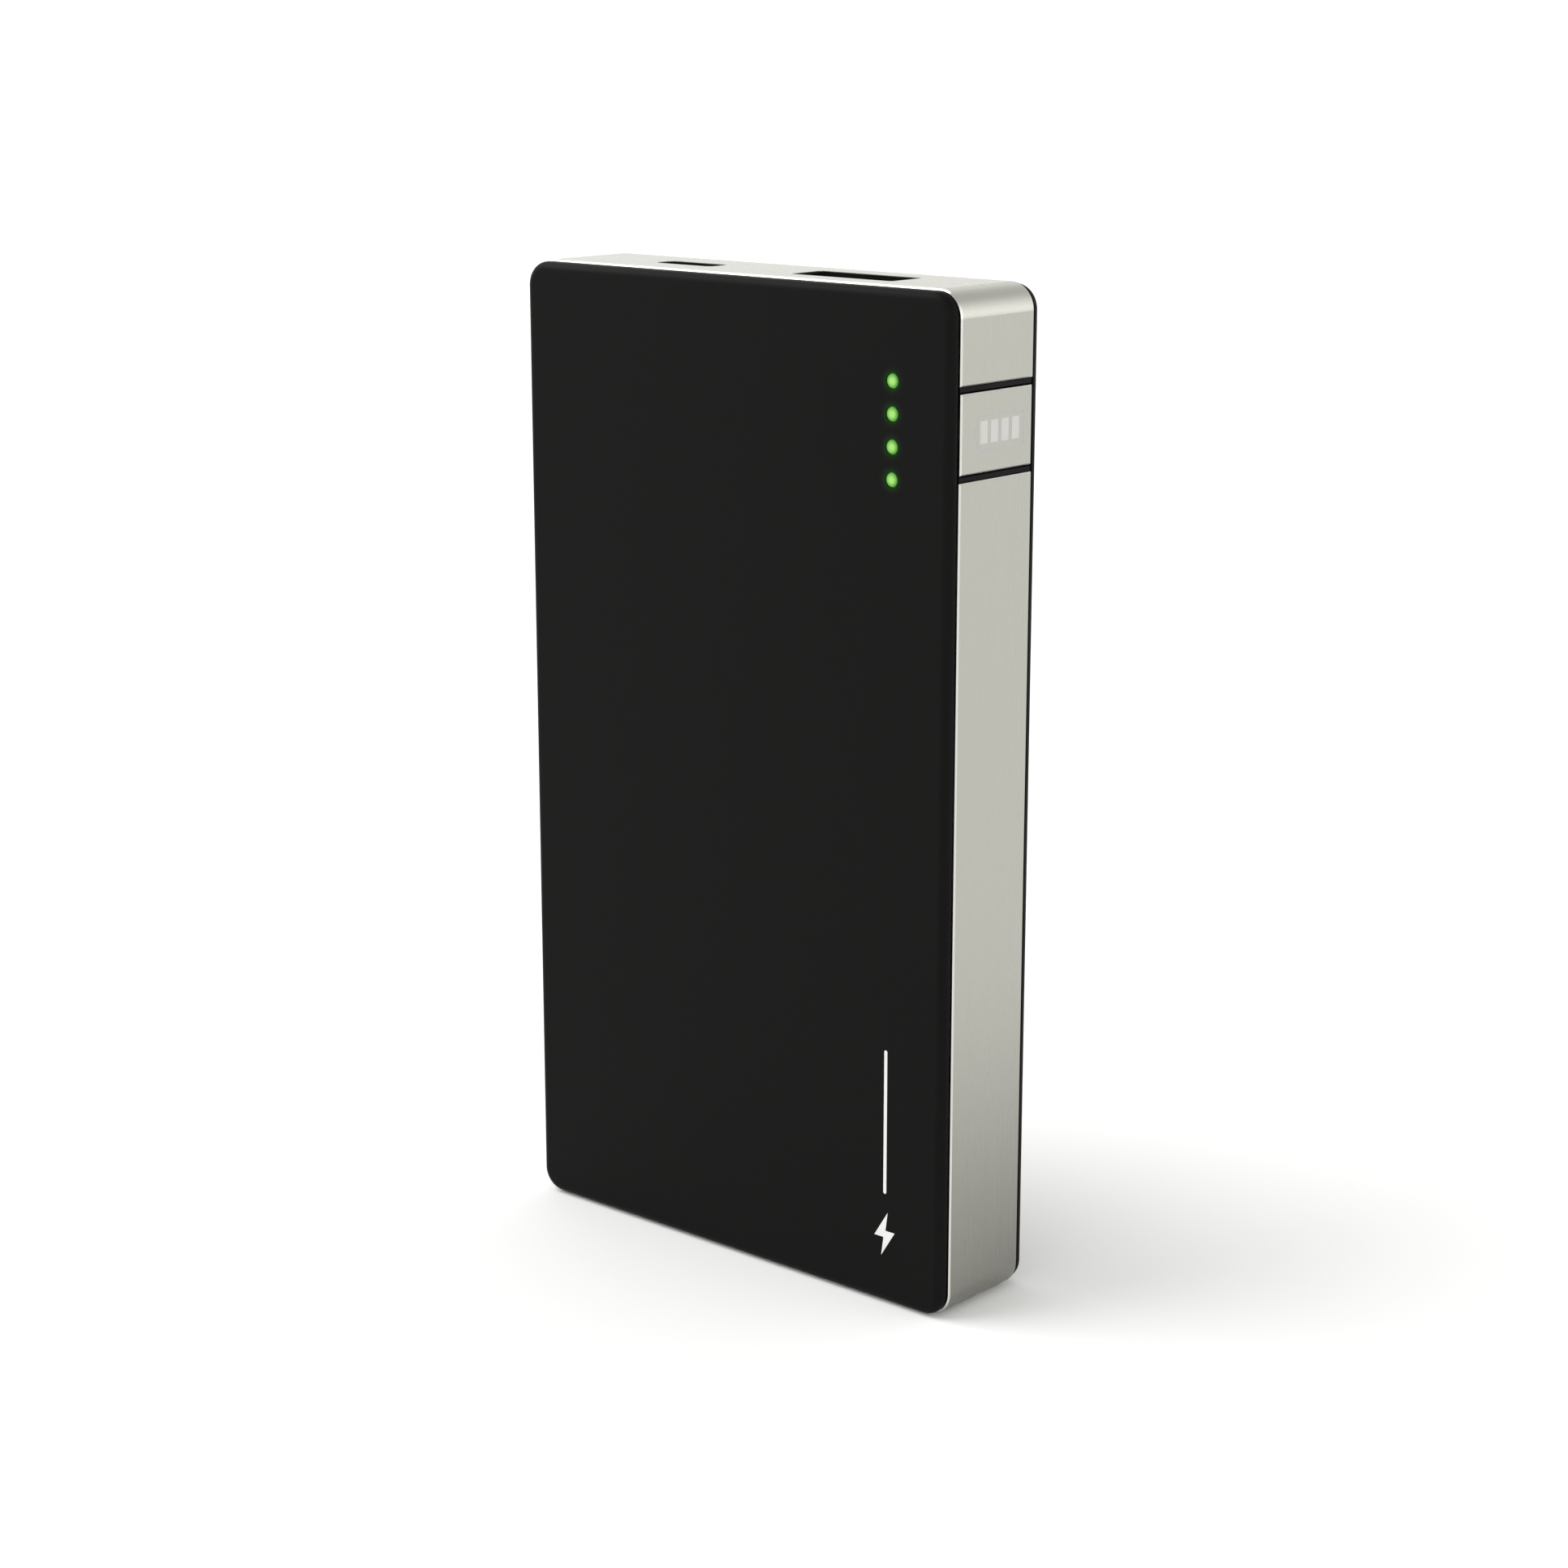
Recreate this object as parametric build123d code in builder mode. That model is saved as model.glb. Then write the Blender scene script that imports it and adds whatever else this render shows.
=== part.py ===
"""A slim two-port power bank that stands on its narrow end.

Two black covers close an aluminium band. A plastic chassis inside the band holds a lithium
pouch cell and, above it, the circuit board with both sockets, the charge lights and the
switch behind the status button.

Millimetres. X is the width, Y the thickness with the front at -Y, Z the height from the base.
Each finished piece is written to parts/NAME.step.
"""

import os

from build123d import *

# ---------------------------------------------------------------- driving dimensions
WIDTH = 62.0
HEIGHT = 112.0
DEPTH = 15.0
CORNER_R = 2.9  # corners of the band's outline, seen from the front

# Covers: a rounded side, then a shadow gap in front of the band, which stands a little proud
PROUD = 0.2
COVER_EDGE_R = 1.0
COVER_SIDE = 1.15
GAP_WIDTH = 0.25
GAP_DEPTH = 0.35
COVER_T = COVER_SIDE + GAP_WIDTH
TONGUE_T = 0.9
TONGUE_LENGTH = 1.15
HOOK_WIDTH = 6.0
HOOK_T = 0.9
HOOK_TIP_Y = 2.9  # the hooks end this far from the middle plane
HOOK_BARB = 0.5
SIDE_HOOK_Z = (20.0, 48.0, 76.0)
BASE_HOOK_X = (-14.0, 14.0)
TOP_HOOK_X = -3.3

# Aluminium band
BAND_T = 1.0
BAND_WIDTH = DEPTH - 2 * COVER_T
BAND_BEVEL = 0.17

# Status button on the +X side, and the black ribs above and below it
BUTTON_Z = 97.2
BUTTON_HEIGHT = 8.4
RIB_GAP = 0.78
RIB_T = 0.58
RIB_RECESS = 0.2
BUTTON_TRAVEL = 0.3
SIDE_CLEARANCE = 0.1  # between the button and each cover

# Charge lights in the front cover
LIGHT_X = 23.0
LIGHT_PITCH = 3.43
LIGHT_COUNT = 4
LIGHT_D = 1.6

# Sockets in the top edge
PORT_Y = 0.0
USB_A_X = 11.8
USB_A_CUTOUT = (14.1, 5.3)
USB_A_CUTOUT_R = 0.6
MICRO_X = -12.1
MICRO_CUTOUT = (8.5, 3.1)
MICRO_CUTOUT_R = 0.9
SOCKET_RECESS = 1.8  # from the top edge down to the mouths of the metal shells

# Liners of the two openings
LINER_FIT = 0.03
LINER_T = 0.25
LINER_BELOW = 0.05  # how far they stay below the band's top

# Chassis
FIT = 0.1  # assembly gap between nested plastic and metal parts
CHASSIS_WALL = 1.3
PORT_WALL = 0.6
CROSS_WALL_Z = 85.4
CROSS_WALL_T = 1.2

# Circuit board
BOARD_BACK_Y = -1.4
BOARD_T = 1.0
BOARD_BASE_Z = 87.0
BOARD_TOP_Z = 109.2
SCREW_X = 27.0
SCREW_Z = (88.7, 107.4)
SCREW_D = 1.4
PILOT_DEPTH = 2.0

# Pouch cell
CELL_WIDTH = 50.0
CELL_LENGTH = 76.2
CELL_T = 9.4
CELL_BASE_Z = 4.2

# ---------------------------------------------------------------- places worked out from them
FRONT_Y = -DEPTH / 2
CHASSIS_INSET = BAND_T + FIT
CHASSIS_Y = BAND_WIDTH / 2 - TONGUE_LENGTH - FIT
WALL_OUT_X = WIDTH / 2 - CHASSIS_INSET
WALL_IN_X = WALL_OUT_X - CHASSIS_WALL
WALL_TOP_IN_Z = HEIGHT - CHASSIS_INSET - CHASSIS_WALL
WALL_BASE_IN_Z = CHASSIS_INSET + CHASSIS_WALL
BOARD_FRONT_Y = BOARD_BACK_Y - BOARD_T
BUTTON_LOW = BUTTON_Z - BUTTON_HEIGHT / 2
BUTTON_HIGH = BUTTON_Z + BUTTON_HEIGHT / 2
GAP_LOW = BUTTON_LOW - RIB_GAP
GAP_HIGH = BUTTON_HIGH + RIB_GAP
SHELL_MOUTH_Z = HEIGHT - SOCKET_RECESS
LINER_BASE_Z = HEIGHT - CHASSIS_INSET - PORT_WALL
PORT_OPENINGS = ((USB_A_X, USB_A_CUTOUT, USB_A_CUTOUT_R), (MICRO_X, MICRO_CUTOUT, MICRO_CUTOUT_R))
LIGHT_Z = [BUTTON_Z + (i - (LIGHT_COUNT - 1) / 2) * LIGHT_PITCH for i in range(LIGHT_COUNT)]
CELL_TOP_Z = CELL_BASE_Z + CELL_LENGTH
BEHIND_COVER_Y = BAND_WIDTH / 2  # the inner faces of the covers are this far from the middle


def from_front(y):
    """The plane across the case at depth y, seen from the front, with its normal to the front."""
    return Plane(origin=(0, y, 0), x_dir=(1, 0, 0), z_dir=(0, -1, 0))


def from_back(y):
    """The plane across the case at depth y, seen from the back, with its normal to the back."""
    return Plane(origin=(0, y, 0), x_dir=(-1, 0, 0), z_dir=(0, 1, 0))


def outline(inset=0.0):
    """The case's rounded outline, drawn in from its edge by inset."""
    radius = max(CORNER_R - inset, 0.5)
    with Locations((0, HEIGHT / 2)):
        RectangleRounded(WIDTH - 2 * inset, HEIGHT - 2 * inset, radius)


def box_between(low, high, mode=Mode.ADD):
    """A box between two corners given as (x, y, z), in the part that is being built."""
    middle = [(a + b) / 2 for a, b in zip(low, high)]
    with Locations(tuple(middle)):
        Box(*(b - a for a, b in zip(low, high)), mode=mode)


def write(part, name):
    """Labels a finished piece and writes it to parts/."""
    part.label = name
    export_step(part, f"parts/{name}.step")


os.makedirs("parts", exist_ok=True)


# ---------------------------------------------------------------- covers
def add_hooks(side):
    """Snap hooks of the cover at side * Y. Their barbs point outwards, into the chassis."""
    root = side * (BEHIND_COVER_Y + FIT)
    tip = side * HOOK_TIP_Y
    barb_root = side * (HOOK_TIP_Y + HOOK_BARB + 0.2)
    y_low, y_high = sorted((root, tip))
    barb_low, barb_high = sorted((barb_root, tip))
    half = HOOK_WIDTH / 2
    for x_sign in (-1, 1):
        near = x_sign * (WALL_IN_X - FIT)
        far = near - x_sign * HOOK_T
        barb = near + x_sign * HOOK_BARB
        for z in SIDE_HOOK_Z:
            box_between((min(near, far), y_low, z - half), (max(near, far), y_high, z + half))
            box_between((min(near, barb), barb_low, z - half), (max(near, barb), barb_high, z + half))
    base = WALL_BASE_IN_Z + FIT
    for x in BASE_HOOK_X:
        box_between((x - half, y_low, base), (x + half, y_high, base + HOOK_T))
        box_between((x - half, barb_low, base - HOOK_BARB), (x + half, barb_high, base))
    top = WALL_TOP_IN_Z - FIT
    box_between((TOP_HOOK_X - half, y_low, top - HOOK_T), (TOP_HOOK_X + half, y_high, top))
    box_between((TOP_HOOK_X - half, barb_low, top), (TOP_HOOK_X + half, barb_high, top + HOOK_BARB))


def make_cover(side):
    """A cover without holes: rounded plate, recessed neck, tongue inside the band, and hooks."""
    plane = from_front if side < 0 else from_back
    with BuildPart() as cover:
        with BuildSketch(plane(side * (DEPTH / 2 - COVER_SIDE))):
            outline(PROUD)
        extrude(amount=COVER_SIDE)
        outer = cover.faces().sort_by(Axis.Y)[0 if side < 0 else -1]
        fillet(outer.edges(), COVER_EDGE_R)
        inner = cover.faces().sort_by(Axis.Y)[-1 if side < 0 else 0]
        fillet(inner.edges(), 0.1)
        with BuildSketch(plane(side * BAND_WIDTH / 2)):
            outline(PROUD + GAP_DEPTH)
        extrude(amount=GAP_WIDTH)
        with BuildSketch(plane(side * (BAND_WIDTH / 2 - TONGUE_LENGTH))):
            outline(CHASSIS_INSET)
            with BuildSketch(mode=Mode.SUBTRACT):
                outline(CHASSIS_INSET + TONGUE_T)
        extrude(amount=TONGUE_LENGTH)
        notch_low, notch_high = sorted((side * (BAND_WIDTH / 2), side * (CHASSIS_Y - FIT)))
        box_between(
            (WALL_IN_X, notch_low, GAP_LOW - 0.6),
            (WIDTH / 2, notch_high, GAP_HIGH + 0.6),
            mode=Mode.SUBTRACT,
        )
        add_hooks(side)
    return cover


front_blank = make_cover(-1)
back_blank = make_cover(1)

MARK_X = 22.9
MARK_DEPTH = 0.06
BOLT_Z = 8.3
BOLT = ((0.45, 2.6), (-1.45, -0.4), (-0.15, -0.4), (-0.45, -2.6), (1.45, 0.4), (0.15, 0.4))
BAR_SPAN = (13.0, 29.6)
BAR_WIDTH = 0.45


def mark_shapes():
    """The printed mark near the foot of the front: a charge bolt, and a thin bar above it."""
    Polygon(*((MARK_X + x, BOLT_Z + z) for x, z in BOLT), align=None)
    with Locations((MARK_X, sum(BAR_SPAN) / 2)):
        SlotOverall(BAR_SPAN[1] - BAR_SPAN[0], BAR_WIDTH, rotation=90)


with BuildPart() as front_cover:
    add(front_blank.part)
    with BuildSketch(from_front(FRONT_Y + MARK_DEPTH)):
        mark_shapes()
    extrude(amount=2 * MARK_DEPTH, mode=Mode.SUBTRACT)
    with BuildSketch(from_front(-BEHIND_COVER_Y + 1.0)):
        with Locations(*((LIGHT_X, z) for z in LIGHT_Z)):
            Circle(LIGHT_D / 2 + 0.04)
    extrude(amount=DEPTH / 2, mode=Mode.SUBTRACT)
write(front_cover.part, "front_cover")

with BuildPart() as charge_mark:
    with BuildSketch(from_front(FRONT_Y + MARK_DEPTH)):
        mark_shapes()
    extrude(amount=MARK_DEPTH - 0.01)
write(charge_mark.part, "charge_mark")

with BuildPart() as back_cover:
    add(back_blank.part)
write(back_cover.part, "back_cover")


# ---------------------------------------------------------------- metal band
def port_shape(size, radius, mode=Mode.ADD):
    """A rounded slot of that size in the sketch that is being drawn."""
    RectangleRounded(size[0], size[1], radius, mode=mode)


with BuildPart() as metal_band:
    with BuildSketch(from_front(BAND_WIDTH / 2)):
        outline()
    extrude(amount=BAND_WIDTH)
    chamfer(metal_band.faces().filter_by(Axis.Y).edges(), BAND_BEVEL)
    with BuildSketch(from_front(BAND_WIDTH / 2)):
        outline(BAND_T)
    extrude(amount=BAND_WIDTH, mode=Mode.SUBTRACT)
    box_between(
        (WIDTH / 2 - CORNER_R, -BAND_WIDTH, GAP_LOW),
        (WIDTH, BAND_WIDTH, GAP_HIGH),
        mode=Mode.SUBTRACT,
    )
    outer_edges = metal_band.edges().filter_by(Axis.Y).group_by(Axis.X)[-1]
    ends = outer_edges.filter_by_position(Axis.Z, GAP_LOW - 0.1, GAP_HIGH + 0.1)
    chamfer(ends, BAND_BEVEL)
    with BuildSketch(Plane.XY.offset(HEIGHT - 2 * BAND_T)):
        for x, size, radius in PORT_OPENINGS:
            with Locations((x, PORT_Y)):
                port_shape(size, radius)
    extrude(amount=4 * BAND_T, mode=Mode.SUBTRACT)
write(metal_band.part, "metal_band")

# Thin liners are pressed through the band's two openings from outside and bonded to the chassis.
with BuildPart() as port_liners:
    with BuildSketch(Plane.XY.offset(LINER_BASE_Z)):
        for x, size, radius in PORT_OPENINGS:
            with Locations((x, PORT_Y)):
                port_shape((size[0] - 2 * LINER_FIT, size[1] - 2 * LINER_FIT), radius - LINER_FIT)
                inner = LINER_FIT + LINER_T
                port_shape((size[0] - 2 * inner, size[1] - 2 * inner), radius - inner, Mode.SUBTRACT)
    extrude(amount=HEIGHT - LINER_BELOW - LINER_BASE_Z)
write(port_liners.part, "port_liners")

# ---------------------------------------------------------------- status button
CAP_T = BAND_T
CAP_HALF_Y = BAND_WIDTH / 2 - SIDE_CLEARANCE
CAP_BACK_X = WIDTH / 2 - CAP_T
ICON_Y = 0.5
ICON_DEPTH = 0.06
ICON_BARS = 4
ICON_BAR = (1.25, 2.35)
ICON_BAR_PITCH = 1.78
ICON_FRAME = (8.0, 3.8)
ICON_LINE = 0.22
ICON_TIP = (0.4, 1.3)


def icon_shapes():
    """A plain battery symbol on the button: frame, four bars, and the terminal towards the front."""
    with Locations((ICON_Y, BUTTON_Z)):
        RectangleRounded(ICON_FRAME[0], ICON_FRAME[1], 0.5)
        RectangleRounded(
            ICON_FRAME[0] - 2 * ICON_LINE,
            ICON_FRAME[1] - 2 * ICON_LINE,
            0.35,
            mode=Mode.SUBTRACT,
        )
        with GridLocations(ICON_BAR_PITCH, 0, ICON_BARS, 1):
            Rectangle(*ICON_BAR)
    with Locations((ICON_Y - ICON_FRAME[0] / 2 - ICON_TIP[0] / 2 - 0.15, BUTTON_Z)):
        Rectangle(*ICON_TIP)


CARRIER_LIP_T = 0.25
with BuildPart() as button_cap:
    box_between((CAP_BACK_X, -CAP_HALF_Y, BUTTON_LOW), (WIDTH / 2, CAP_HALF_Y, BUTTON_HIGH))
    chamfer(button_cap.faces().sort_by(Axis.X)[-1].edges(), BAND_BEVEL)
    with BuildSketch(Plane.YZ.offset(WIDTH / 2 - ICON_DEPTH)):
        icon_shapes()
    extrude(amount=2 * ICON_DEPTH, mode=Mode.SUBTRACT)
write(button_cap.part, "button_cap")

with BuildPart() as battery_icon:
    with BuildSketch(Plane.YZ.offset(WIDTH / 2 - ICON_DEPTH)):
        icon_shapes()
    extrude(amount=ICON_DEPTH - 0.01)
write(battery_icon.part, "battery_icon")

# The carrier is bonded behind the cap, passes through the bezel and is held by its own flange.
BEZEL_PLATE_OUT_X = CAP_BACK_X - CARRIER_LIP_T - BUTTON_TRAVEL - FIT
BEZEL_PLATE_IN_X = WALL_IN_X
CARRIER_HALF_Y = 2.85
CARRIER_HALF_Z = 3.1
FLANGE_GROW = 0.65
FLANGE_OUT_X = BEZEL_PLATE_IN_X - FIT
FLANGE_T = 0.75
NUB_LENGTH = 0.45
NUB_TIP_X = FLANGE_OUT_X - FLANGE_T - NUB_LENGTH
SWITCH_Y = BOARD_BACK_Y + 1.3

with BuildPart() as button_carrier:
    box_between(
        (CAP_BACK_X - CARRIER_LIP_T, -CAP_HALF_Y + 1.0, BUTTON_LOW + 0.5),
        (CAP_BACK_X, CAP_HALF_Y - 1.0, BUTTON_HIGH - 0.5),
    )
    box_between(
        (FLANGE_OUT_X - FLANGE_T, -CARRIER_HALF_Y, BUTTON_Z - CARRIER_HALF_Z),
        (CAP_BACK_X, CARRIER_HALF_Y, BUTTON_Z + CARRIER_HALF_Z),
    )
    box_between(
        (FLANGE_OUT_X - FLANGE_T, -CARRIER_HALF_Y - FLANGE_GROW, BUTTON_Z - CARRIER_HALF_Z - FLANGE_GROW),
        (FLANGE_OUT_X, CARRIER_HALF_Y + FLANGE_GROW, BUTTON_Z + CARRIER_HALF_Z + FLANGE_GROW),
    )
    box_between(
        (NUB_TIP_X, SWITCH_Y - 0.8, BUTTON_Z - 1.2),
        (FLANGE_OUT_X, SWITCH_Y + 0.8, BUTTON_Z + 1.2),
    )
write(button_carrier.part, "button_carrier")

# The bezel: a plate in the chassis window, and the two ribs that show beside the button.
WINDOW_HALF_Y = 4.0
WINDOW_LOW = GAP_LOW - 0.7
WINDOW_HIGH = GAP_HIGH + 0.7
RIB_OUT_X = WIDTH / 2 - RIB_RECESS
RIB_HALF_Y = BAND_WIDTH / 2 - 0.05
RIB_SPANS = (
    (GAP_LOW + 0.05, GAP_LOW + 0.05 + RIB_T),
    (GAP_HIGH - 0.05 - RIB_T, GAP_HIGH - 0.05),
)

with BuildPart() as button_bezel:
    box_between(
        (BEZEL_PLATE_IN_X, -WINDOW_HALF_Y + FIT / 2, WINDOW_LOW + FIT / 2),
        (BEZEL_PLATE_OUT_X, WINDOW_HALF_Y - FIT / 2, WINDOW_HIGH - FIT / 2),
    )
    for low, high in RIB_SPANS:
        box_between((BEZEL_PLATE_OUT_X, -RIB_HALF_Y, low), (RIB_OUT_X, RIB_HALF_Y, high))
    box_between(
        (BEZEL_PLATE_IN_X - 1, -CARRIER_HALF_Y - 0.15, BUTTON_Z - CARRIER_HALF_Z - 0.15),
        (BEZEL_PLATE_OUT_X + 1, CARRIER_HALF_Y + 0.15, BUTTON_Z + CARRIER_HALF_Z + 0.15),
        mode=Mode.SUBTRACT,
    )
    tops = button_bezel.faces().filter_by(Axis.X).filter_by(lambda face: face.center().X > RIB_OUT_X - 0.01)
    fillet(tops.edges().filter_by(Axis.Y), 0.12)
write(button_bezel.part, "button_bezel")

# ---------------------------------------------------------------- chassis
CELL_GAP = 0.3  # between the cell and the ribs beside it
BOSS_HALF_X = 1.6
RIB_BOX_Z = (8.0, 34.0, 62.0)
WIRE_NOTCH = (-12.5, 1.0)
HOOK_SLOT = 0.2  # room round a hook's barb

with BuildPart() as chassis:
    with BuildSketch(from_front(CHASSIS_Y)):
        outline(CHASSIS_INSET)
        with BuildSketch(mode=Mode.SUBTRACT):
            outline(CHASSIS_INSET + CHASSIS_WALL)
    extrude(amount=2 * CHASSIS_Y)
    # the wall between the cell's bay and the circuit board's
    box_between(
        (-WALL_IN_X - 0.2, -CHASSIS_Y, CROSS_WALL_Z),
        (WALL_IN_X + 0.2, CHASSIS_Y, CROSS_WALL_Z + CROSS_WALL_T),
    )
    # ribs that keep the cell off the side walls, and the bosses under the board's corners
    for x_sign in (-1, 1):
        for z in RIB_BOX_Z:
            x_pair = sorted((x_sign * (CELL_WIDTH / 2 + CELL_GAP), x_sign * (WALL_IN_X + 0.2)))
            box_between((x_pair[0], -4.0, z - 0.75), (x_pair[1], 4.0, z + 0.75))
        for z in SCREW_Z:
            x_pair = sorted((x_sign * (SCREW_X - BOSS_HALF_X), x_sign * (WALL_IN_X + 0.2)))
            z_low = CROSS_WALL_Z + 0.5 if z < BUTTON_Z else z - 2.0
            z_high = z + 2.0 if z < BUTTON_Z else WALL_TOP_IN_Z + 0.2
            box_between((x_pair[0], -CHASSIS_Y, z_low), (x_pair[1], BOARD_FRONT_Y, z_high))
    # stops under the cell
    for x in (-21.0, 0.0, 21.0):
        box_between((x - 2, -3.0, WALL_BASE_IN_Z - 0.2), (x + 2, 3.0, CELL_BASE_Z - CELL_GAP))
    # pilot holes for the board's screws
    with BuildSketch(from_front(BOARD_FRONT_Y)):
        with Locations(*((x, z) for x in (-SCREW_X, SCREW_X) for z in SCREW_Z)):
            Circle(SCREW_D / 2 + 0.02)
    extrude(amount=PILOT_DEPTH, mode=Mode.SUBTRACT)
    # notch that lets the cell's leads through
    box_between(
        (WIRE_NOTCH[0], -CHASSIS_Y - 1, CROSS_WALL_Z - 1),
        (WIRE_NOTCH[1], -0.4, CROSS_WALL_Z + CROSS_WALL_T + 1),
        mode=Mode.SUBTRACT,
    )
    # slots for the covers' hooks
    for side in (-1, 1):
        y_pair = sorted((side * (HOOK_TIP_Y - HOOK_SLOT), side * (HOOK_TIP_Y + HOOK_BARB + 0.4)))
        half = HOOK_WIDTH / 2 + HOOK_SLOT
        for z in SIDE_HOOK_Z:
            for x_sign in (-1, 1):
                x_pair = sorted((x_sign * (WALL_IN_X - 0.5), x_sign * WIDTH / 2))
                box_between(
                    (x_pair[0], y_pair[0], z - half),
                    (x_pair[1], y_pair[1], z + half),
                    mode=Mode.SUBTRACT,
                )
        for x in BASE_HOOK_X:
            box_between(
                (x - half, y_pair[0], 0),
                (x + half, y_pair[1], WALL_BASE_IN_Z + 0.1),
                mode=Mode.SUBTRACT,
            )
        box_between(
            (TOP_HOOK_X - half, y_pair[0], WALL_TOP_IN_Z - 0.1),
            (TOP_HOOK_X + half, y_pair[1], HEIGHT),
            mode=Mode.SUBTRACT,
        )
    # window and outer recess for the status button
    box_between(
        (WALL_IN_X - 1, -WINDOW_HALF_Y, WINDOW_LOW),
        (WIDTH / 2, WINDOW_HALF_Y, WINDOW_HIGH),
        mode=Mode.SUBTRACT,
    )
    box_between(
        (BEZEL_PLATE_OUT_X - 0.05, -CHASSIS_Y - 1, GAP_LOW - FIT),
        (WIDTH / 2, CHASSIS_Y + 1, GAP_HIGH + FIT),
        mode=Mode.SUBTRACT,
    )
    # the top wall is thinned behind the sockets, and each has its opening
    for x, size, radius in PORT_OPENINGS:
        box_between(
            (x - size[0] / 2 - 0.4, -CHASSIS_Y - 1, WALL_TOP_IN_Z - 2),
            (x + size[0] / 2 + 0.4, CHASSIS_Y + 1, LINER_BASE_Z),
            mode=Mode.SUBTRACT,
        )
    with BuildSketch(Plane.XY.offset(WALL_TOP_IN_Z - 1)):
        for x, size, radius in PORT_OPENINGS:
            with Locations((x, PORT_Y)):
                port_shape(size, radius)
    extrude(amount=4, mode=Mode.SUBTRACT)
write(chassis.part, "chassis")

# ---------------------------------------------------------------- circuit board
USB_A_BODY = (13.1, 5.72)
USB_A_LENGTH = 14.0
USB_A_WALL = 0.3
USB_A_BASE_Z = SHELL_MOUTH_Z - USB_A_LENGTH
SWITCH_CLEAR_X = 27.0  # the board's edge beside the button's flange

with BuildPart() as main_board:
    box_between(
        (-WALL_IN_X + 0.3, BOARD_FRONT_Y, BOARD_BASE_Z),
        (WALL_IN_X - 0.3, BOARD_BACK_Y, BOARD_TOP_Z),
    )
    box_between(
        (USB_A_X - USB_A_BODY[0] / 2 - 0.15, BOARD_FRONT_Y - 1, USB_A_BASE_Z - 0.8),
        (USB_A_X + USB_A_BODY[0] / 2 + 0.15, BOARD_BACK_Y + 1, HEIGHT),
        mode=Mode.SUBTRACT,
    )
    box_between(
        (SWITCH_CLEAR_X, BOARD_FRONT_Y - 1, BUTTON_Z - CARRIER_HALF_Z - FLANGE_GROW - 0.8),
        (WIDTH / 2, BOARD_BACK_Y + 1, BUTTON_Z + CARRIER_HALF_Z + FLANGE_GROW + 0.8),
        mode=Mode.SUBTRACT,
    )
    with BuildSketch(from_front(BOARD_BACK_Y)):
        with Locations(*((x, z) for x in (-SCREW_X, SCREW_X) for z in SCREW_Z)):
            Circle(SCREW_D / 2 + 0.1)
    extrude(amount=BOARD_T, mode=Mode.SUBTRACT)
    fillet(main_board.edges().filter_by(Axis.Y).group_by(Axis.X)[0], 0.8)
write(main_board.part, "main_board")

HEAD_D = 2.6
HEAD_T = 0.75
with BuildPart() as board_screws:
    for x in (-SCREW_X, SCREW_X):
        for z in SCREW_Z:
            with BuildSketch(from_back(BOARD_BACK_Y)):
                with Locations((-x, z)):
                    Circle(HEAD_D / 2)
            extrude(amount=HEAD_T)
            with BuildSketch(from_front(BOARD_BACK_Y)):
                with Locations((x, z)):
                    Circle(SCREW_D / 2)
            extrude(amount=BOARD_T + PILOT_DEPTH - 0.2)
            with BuildSketch(from_back(BOARD_BACK_Y + HEAD_T - 0.4)):
                with Locations((-x, z)):
                    Rectangle(1.5, 0.35)
                    Rectangle(0.35, 1.5)
            extrude(amount=0.5, mode=Mode.SUBTRACT)
write(board_screws.part, "board_screws")

# ---------------------------------------------------------------- USB-A socket
USB_A_IN = (USB_A_BODY[0] - 2 * USB_A_WALL, USB_A_BODY[1] - 2 * USB_A_WALL)
BLOCK_LENGTH = 3.2
TONGUE = (11.1, 1.84)
TONGUE_TIP_Z = HEIGHT - 4.1
TONGUE_BACK_Y = PORT_Y + USB_A_IN[1] / 2 - 0.45
CONTACT_X = (-3.5, -1.0, 1.0, 3.5)
CONTACT_T = 0.2

with BuildPart() as usb_a_shell:
    with BuildSketch(Plane.XY.offset(USB_A_BASE_Z)):
        with Locations((USB_A_X, PORT_Y)):
            RectangleRounded(*USB_A_BODY, 0.5)
            RectangleRounded(*USB_A_IN, 0.25, mode=Mode.SUBTRACT)
    extrude(amount=USB_A_LENGTH)
    # the holding springs are punched out of the wide walls
    for y in (PORT_Y - USB_A_BODY[1] / 2, PORT_Y + USB_A_BODY[1] / 2):
        for x in (USB_A_X - 3.2, USB_A_X + 3.2):
            box_between((x - 1.1, y - 0.5, 101.0), (x + 1.1, y + 0.5, 106.5), mode=Mode.SUBTRACT)
            box_between(
                (x - 0.85, y - 0.15, 101.0),
                (x + 0.85, y + 0.15, 106.0),
            )
    # feet that are soldered to the board beside the notch
    for x_sign in (-1, 1):
        edge = USB_A_X + x_sign * USB_A_BODY[0] / 2
        for z in (98.5, 105.0):
            x_pair = sorted((edge - x_sign * 0.2, edge + x_sign * 1.6))
            box_between((x_pair[0], BOARD_BACK_Y, z - 0.8), (x_pair[1], BOARD_BACK_Y + 0.3, z + 0.8))
write(usb_a_shell.part, "usb_a_shell")

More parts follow.
